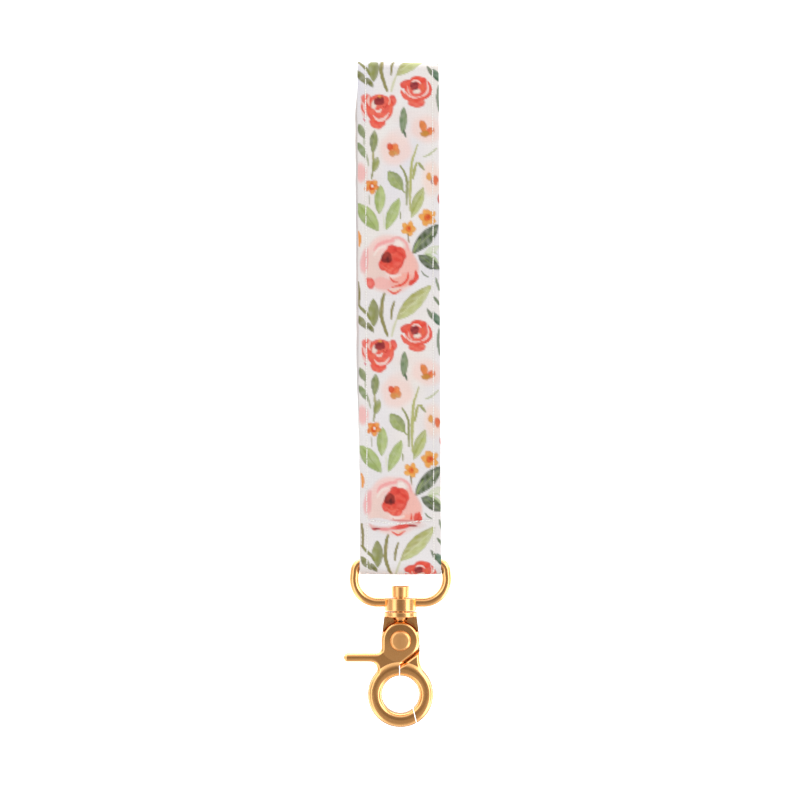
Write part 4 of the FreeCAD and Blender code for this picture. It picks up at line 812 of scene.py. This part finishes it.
def far_from(tree, place, z):
    """Distance in metres from a line along Y at height z."""
    split = tree.nodes.new("ShaderNodeSeparateXYZ")
    wire(tree, place, split.inputs[0])
    across = math_node(tree, "POWER", math_node(tree, "ABSOLUTE", split.outputs[0]), 2.0)
    rise = math_node(tree, "ABSOLUTE", math_node(tree, "SUBTRACT", split.outputs[2], z))
    up = math_node(tree, "POWER", rise, 2.0)
    return math_node(tree, "SQRT", math_node(tree, "ADD", across, up))


def crown(tree, place, ring=0.0, boss=0.0):
    """Height in metres of a slight crown on the ring's faces and of a slight dome on the boss."""
    r = far_from(tree, place, RING_Z * 0.001)
    off = math_node(tree, "DIVIDE", math_node(tree, "SUBTRACT", r, RING_MIDDLE * 0.001), RING_HALF * 0.001)
    square = math_node(tree, "POWER", math_node(tree, "ABSOLUTE", off), 2.0)
    curve = math_node(tree, "MAXIMUM", math_node(tree, "SUBTRACT", 1.0, square), 0.0)
    high = math_node(tree, "MULTIPLY", curve, ring)
    p = math_node(tree, "MINIMUM", far_from(tree, place, PIVOT_Z * 0.001), BOSS_REACH)
    dome = math_node(tree, "MULTIPLY", math_node(tree, "POWER", p, 2.0), -boss)
    return math_node(tree, "ADD", high, dome)


def gold(name, brushed=0.0, rough=(0.13, 0.22), stretch=(1, 1, 1), ring=0.0, boss=0.0):
    """Polished gold plating: slow colour change, fine scratches and, where wanted, brushing."""
    mat, tree, shader = material(name)
    coords = tree.nodes.new("ShaderNodeTexCoord")
    place = coords.outputs["Object"]
    cloud = tree.nodes.new("ShaderNodeTexNoise")
    cloud.inputs["Scale"].default_value = 110.0
    cloud.inputs["Detail"].default_value = 3.0
    wire(tree, place, cloud.inputs["Vector"])
    mapping = tree.nodes.new("ShaderNodeMapping")
    mapping.inputs["Scale"].default_value = stretch
    wire(tree, place, mapping.inputs["Vector"])
    scratch = tree.nodes.new("ShaderNodeTexNoise")
    scratch.inputs["Scale"].default_value = 1500.0
    scratch.inputs["Detail"].default_value = 4.0
    wire(tree, mapping.outputs["Vector"], scratch.inputs["Vector"])
    amount = ranged(tree, cloud.outputs["Fac"], 0.3, 0.7, 0.0, 1.0)
    colour = mix_colours(tree, amount, (0.91, 0.505, 0.205, 1), (0.87, 0.45, 0.17, 1))
    worn = ranged(tree, scratch.outputs["Fac"], 0.55, 0.75, 0.0, 0.35)
    colour = mix_colours(tree, worn, colour, (0.95, 0.6, 0.3, 1))
    wire(tree, colour, shader.inputs["Base Color"])
    shader.inputs["Metallic"].default_value = 1.0
    mixed = math_node(tree, "ADD", math_node(tree, "MULTIPLY", cloud.outputs["Fac"], 0.7),
                      math_node(tree, "MULTIPLY", scratch.outputs["Fac"], 0.3))
    wire(tree, ranged(tree, mixed, 0.35, 0.65, *rough), shader.inputs["Roughness"])
    bump = tree.nodes.new("ShaderNodeBump")
    bump.inputs["Strength"].default_value = 0.12 + brushed
    bump.inputs["Distance"].default_value = 0.00004
    slow = math_node(tree, "MULTIPLY", cloud.outputs["Fac"], 1.5)
    fine = math_node(tree, "MULTIPLY", scratch.outputs["Fac"], 0.25 + brushed)
    wire(tree, math_node(tree, "ADD", slow, fine), bump.inputs["Height"])
    if ring or boss:
        shape = tree.nodes.new("ShaderNodeBump")
        shape.inputs["Strength"].default_value = 1.0
        shape.inputs["Distance"].default_value = 1.0
        wire(tree, crown(tree, place, ring, boss), shape.inputs["Height"])
        wire(tree, shape.outputs["Normal"], bump.inputs["Normal"])
    wire(tree, bump.outputs["Normal"], shader.inputs["Normal"])
    return mat


def steel():
    """Drawn spring wire."""
    mat, tree, shader = material("spring_wire_steel")
    coords = tree.nodes.new("ShaderNodeTexCoord")
    drawn = tree.nodes.new("ShaderNodeTexNoise")
    drawn.inputs["Scale"].default_value = 1800.0
    drawn.inputs["Detail"].default_value = 3.0
    wire(tree, coords.outputs["Object"], drawn.inputs["Vector"])
    colour = mix_colours(tree, drawn.outputs["Fac"], (0.42, 0.40, 0.38, 1), (0.62, 0.60, 0.57, 1))
    wire(tree, colour, shader.inputs["Base Color"])
    shader.inputs["Metallic"].default_value = 1.0
    wire(tree, ranged(tree, drawn.outputs["Fac"], 0.3, 0.7, 0.28, 0.42), shader.inputs["Roughness"])
    return mat


def dress(obj, mat):
    """Give the object this material only."""
    obj.data.materials.clear()
    obj.data.materials.append(mat)


# ---------------------------------------------------------------- pieces
strap = make_strap()
left = edge_stitches("edge_stitches_left", -1)
right = edge_stitches("edge_stitches_right", 1)
across = cross_stitches("cross_stitches")
dress(strap, printed_cotton())
thread = thread_material()
for piece in (left, right, across):
    dress(piece, thread)
for piece in (strap, left, right, across):
    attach(piece, "strap")
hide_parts("printed_cover", "stiffening_core")
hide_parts("edge_stitch_left")
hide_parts("edge_stitch_right")
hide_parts("cross_stitch")

polished = gold("gold_plate_polished")
cast = gold("gold_plate_cast", rough=(0.15, 0.25), ring=0.0007, boss=9.0)
turned = gold("gold_plate_turned", brushed=0.22, rough=(0.2, 0.34), stretch=(1, 1, 0.25))
domed = gold("gold_plate_domed", brushed=0.35, rough=(0.38, 0.5), boss=34.0)
finishes = {
    "swivel_loop": polished,
    "swivel_rivet": turned,
    "hook_body": cast,
    "trigger_jaw": cast,
    "pivot_rivet": domed,
    "torsion_spring": steel(),
}
for name, mat in finishes.items():
    dress(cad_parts[name], mat)

# ---------------------------------------------------------------- stage, light, camera
scene = bpy.context.scene


def backdrop():
    """Pale floor that sweeps up behind the object."""
    floor_z = cad_low[2] * 1000 - 26
    start, radius, reach = 1700.0, 600.0, 3600.0
    steps = 16
    profile = [(-reach, floor_z), (start, floor_z)]
    for k in range(1, steps + 1):
        a = math.radians(90 * k / steps)
        profile.append((start + radius * math.sin(a), floor_z + radius * (1 - math.cos(a))))
    profile.append((start + radius, reach))
    points, faces = [], []
    for y, z in profile:
        points += [(-reach, y, z), (reach, y, z)]
    for k in range(len(profile) - 1):
        faces.append((2 * k, 2 * k + 1, 2 * k + 3, 2 * k + 2))
    obj = add_mesh("floor", points, faces)
    mat, _, shader = material("pale_floor")
    shader.inputs["Base Color"].default_value = (0.94, 0.94, 0.94, 1)
    shader.inputs["Roughness"].default_value = 0.9
    shader.inputs["Emission Color"].default_value = (1, 1, 1, 1)
    shader.inputs["Emission Strength"].default_value = 0.6
    dress(obj, mat)
    obj.visible_glossy = False
    obj.visible_diffuse = False


def lamp(name, place, target, size, power, colour=(1, 1, 1)):
    """Area light at a place, turned to a target."""
    data = bpy.data.lights.new(name, "AREA")
    data.shape = "RECTANGLE"
    data.size, data.size_y = size
    data.energy = power
    data.color = colour
    obj = bpy.data.objects.new(name, data)
    scene.collection.objects.link(obj)
    obj.location = place
    away = [a - b for a, b in zip(place, target)]
    obj.rotation_mode = "QUATERNION"
    obj.rotation_quaternion = Vector(away).to_track_quat("Z", "Y")


def studio():
    """White to the camera, nearly white to the cloth. What metal mirrors is dim, with brighter parts."""
    base = 0.27
    world = bpy.data.worlds.new("studio")
    scene.world = world
    world.use_nodes = True
    tree = world.node_tree
    tree.nodes.clear()
    out = tree.nodes.new("ShaderNodeOutputWorld")
    coords = tree.nodes.new("ShaderNodeTexCoord")
    split = tree.nodes.new("ShaderNodeSeparateXYZ")
    wire(tree, coords.outputs["Generated"], split.inputs[0])
    x, y, z = split.outputs

    def lobe(axis, low, high, strength):
        """Light that grows from nothing at low to its strength at high."""
        made = tree.nodes.new("ShaderNodeMapRange")
        made.interpolation_type = "SMOOTHSTEP"
        wire(tree, axis, made.inputs[0])
        for k, number in enumerate((low, high, 0.0, strength), start=1):
            made.inputs[k].default_value = number
        return made.outputs[0]

    parts = [
        # both sides
        lobe(x, 0.15, 0.7, 0.42),
        lobe(x, -0.15, -0.7, 0.45),
        # above, below, and from just under the horizon down
        lobe(z, 0.3, 0.8, 0.85),
        lobe(z, -0.5, -0.95, 0.3),
        lobe(z, -0.062, -0.082, 0.2),
        # behind the object
        lobe(y, -0.1, 0.5, 0.6),
        # bands of direction, a bright one to the right and a weaker one to the left
        math_node(tree, "MULTIPLY", lobe(x, 0.6, 0.75, 2.4), lobe(x, 0.97, 0.88, 1.0)),
        math_node(tree, "MULTIPLY", lobe(x, -0.45, -0.6, 0.9), lobe(x, -0.9, -0.78, 1.0)),
    ]
    total = None
    for part in parts:
        total = part if total is None else math_node(tree, "ADD", total, part)
    total = math_node(tree, "ADD", total, base)
    glossy = tree.nodes.new("ShaderNodeBackground")
    bright = ranged(tree, total, base, 1.2, 0.0, 1.0)
    warm = mix_colours(tree, bright, (1.0, 0.88, 0.76, 1), (1, 1, 1, 1))
    wire(tree, warm, glossy.inputs[0])
    wire(tree, total, glossy.inputs[1])
    plain = tree.nodes.new("ShaderNodeBackground")
    plain.inputs[0].default_value = (1, 1, 1, 1)
    plain.inputs[1].default_value = 0.93
    seen = tree.nodes.new("ShaderNodeBackground")
    seen.inputs[0].default_value = (1, 1, 1, 1)
    seen.inputs[1].default_value = 1.0
    path = tree.nodes.new("ShaderNodeLightPath")
    first = tree.nodes.new("ShaderNodeMixShader")
    wire(tree, path.outputs["Is Glossy Ray"], first.inputs[0])
    wire(tree, plain.outputs[0], first.inputs[1])
    wire(tree, glossy.outputs[0], first.inputs[2])
    second = tree.nodes.new("ShaderNodeMixShader")
    wire(tree, path.outputs["Is Camera Ray"], second.inputs[0])
    wire(tree, first.outputs[0], second.inputs[1])
    wire(tree, seen.outputs[0], second.inputs[2])
    wire(tree, second.outputs[0], out.inputs[0])


backdrop()
studio()
middle = (0.0, 0.0, -0.104)
lamp("key", (0.75, -0.85, 0.35), middle, (0.5, 0.7), 1.75)
lamp("fill", (-0.8, -0.7, 0.1), middle, (0.5, 0.7), 0.4, (1.0, 0.97, 0.94))
lamp("wash", (0.0, 0.45, 0.9), (0.0, 0.6, -0.2), (1.6, 0.8), 14.0)

sensor = 36.0         # mm
distance = 1.2        # m from the object
shown = 0.2494        # m of the object's plane that the picture takes in
lens = bpy.data.cameras.new("camera")
lens.sensor_width = sensor
lens.lens = sensor * distance / shown
camera = bpy.data.objects.new("camera", lens)
scene.collection.objects.link(camera)
camera.location = (-0.00016, -distance, -0.1042)
camera.rotation_euler = (math.radians(90), 0, 0)
scene.camera = camera
scene.view_settings.view_transform = "Standard"
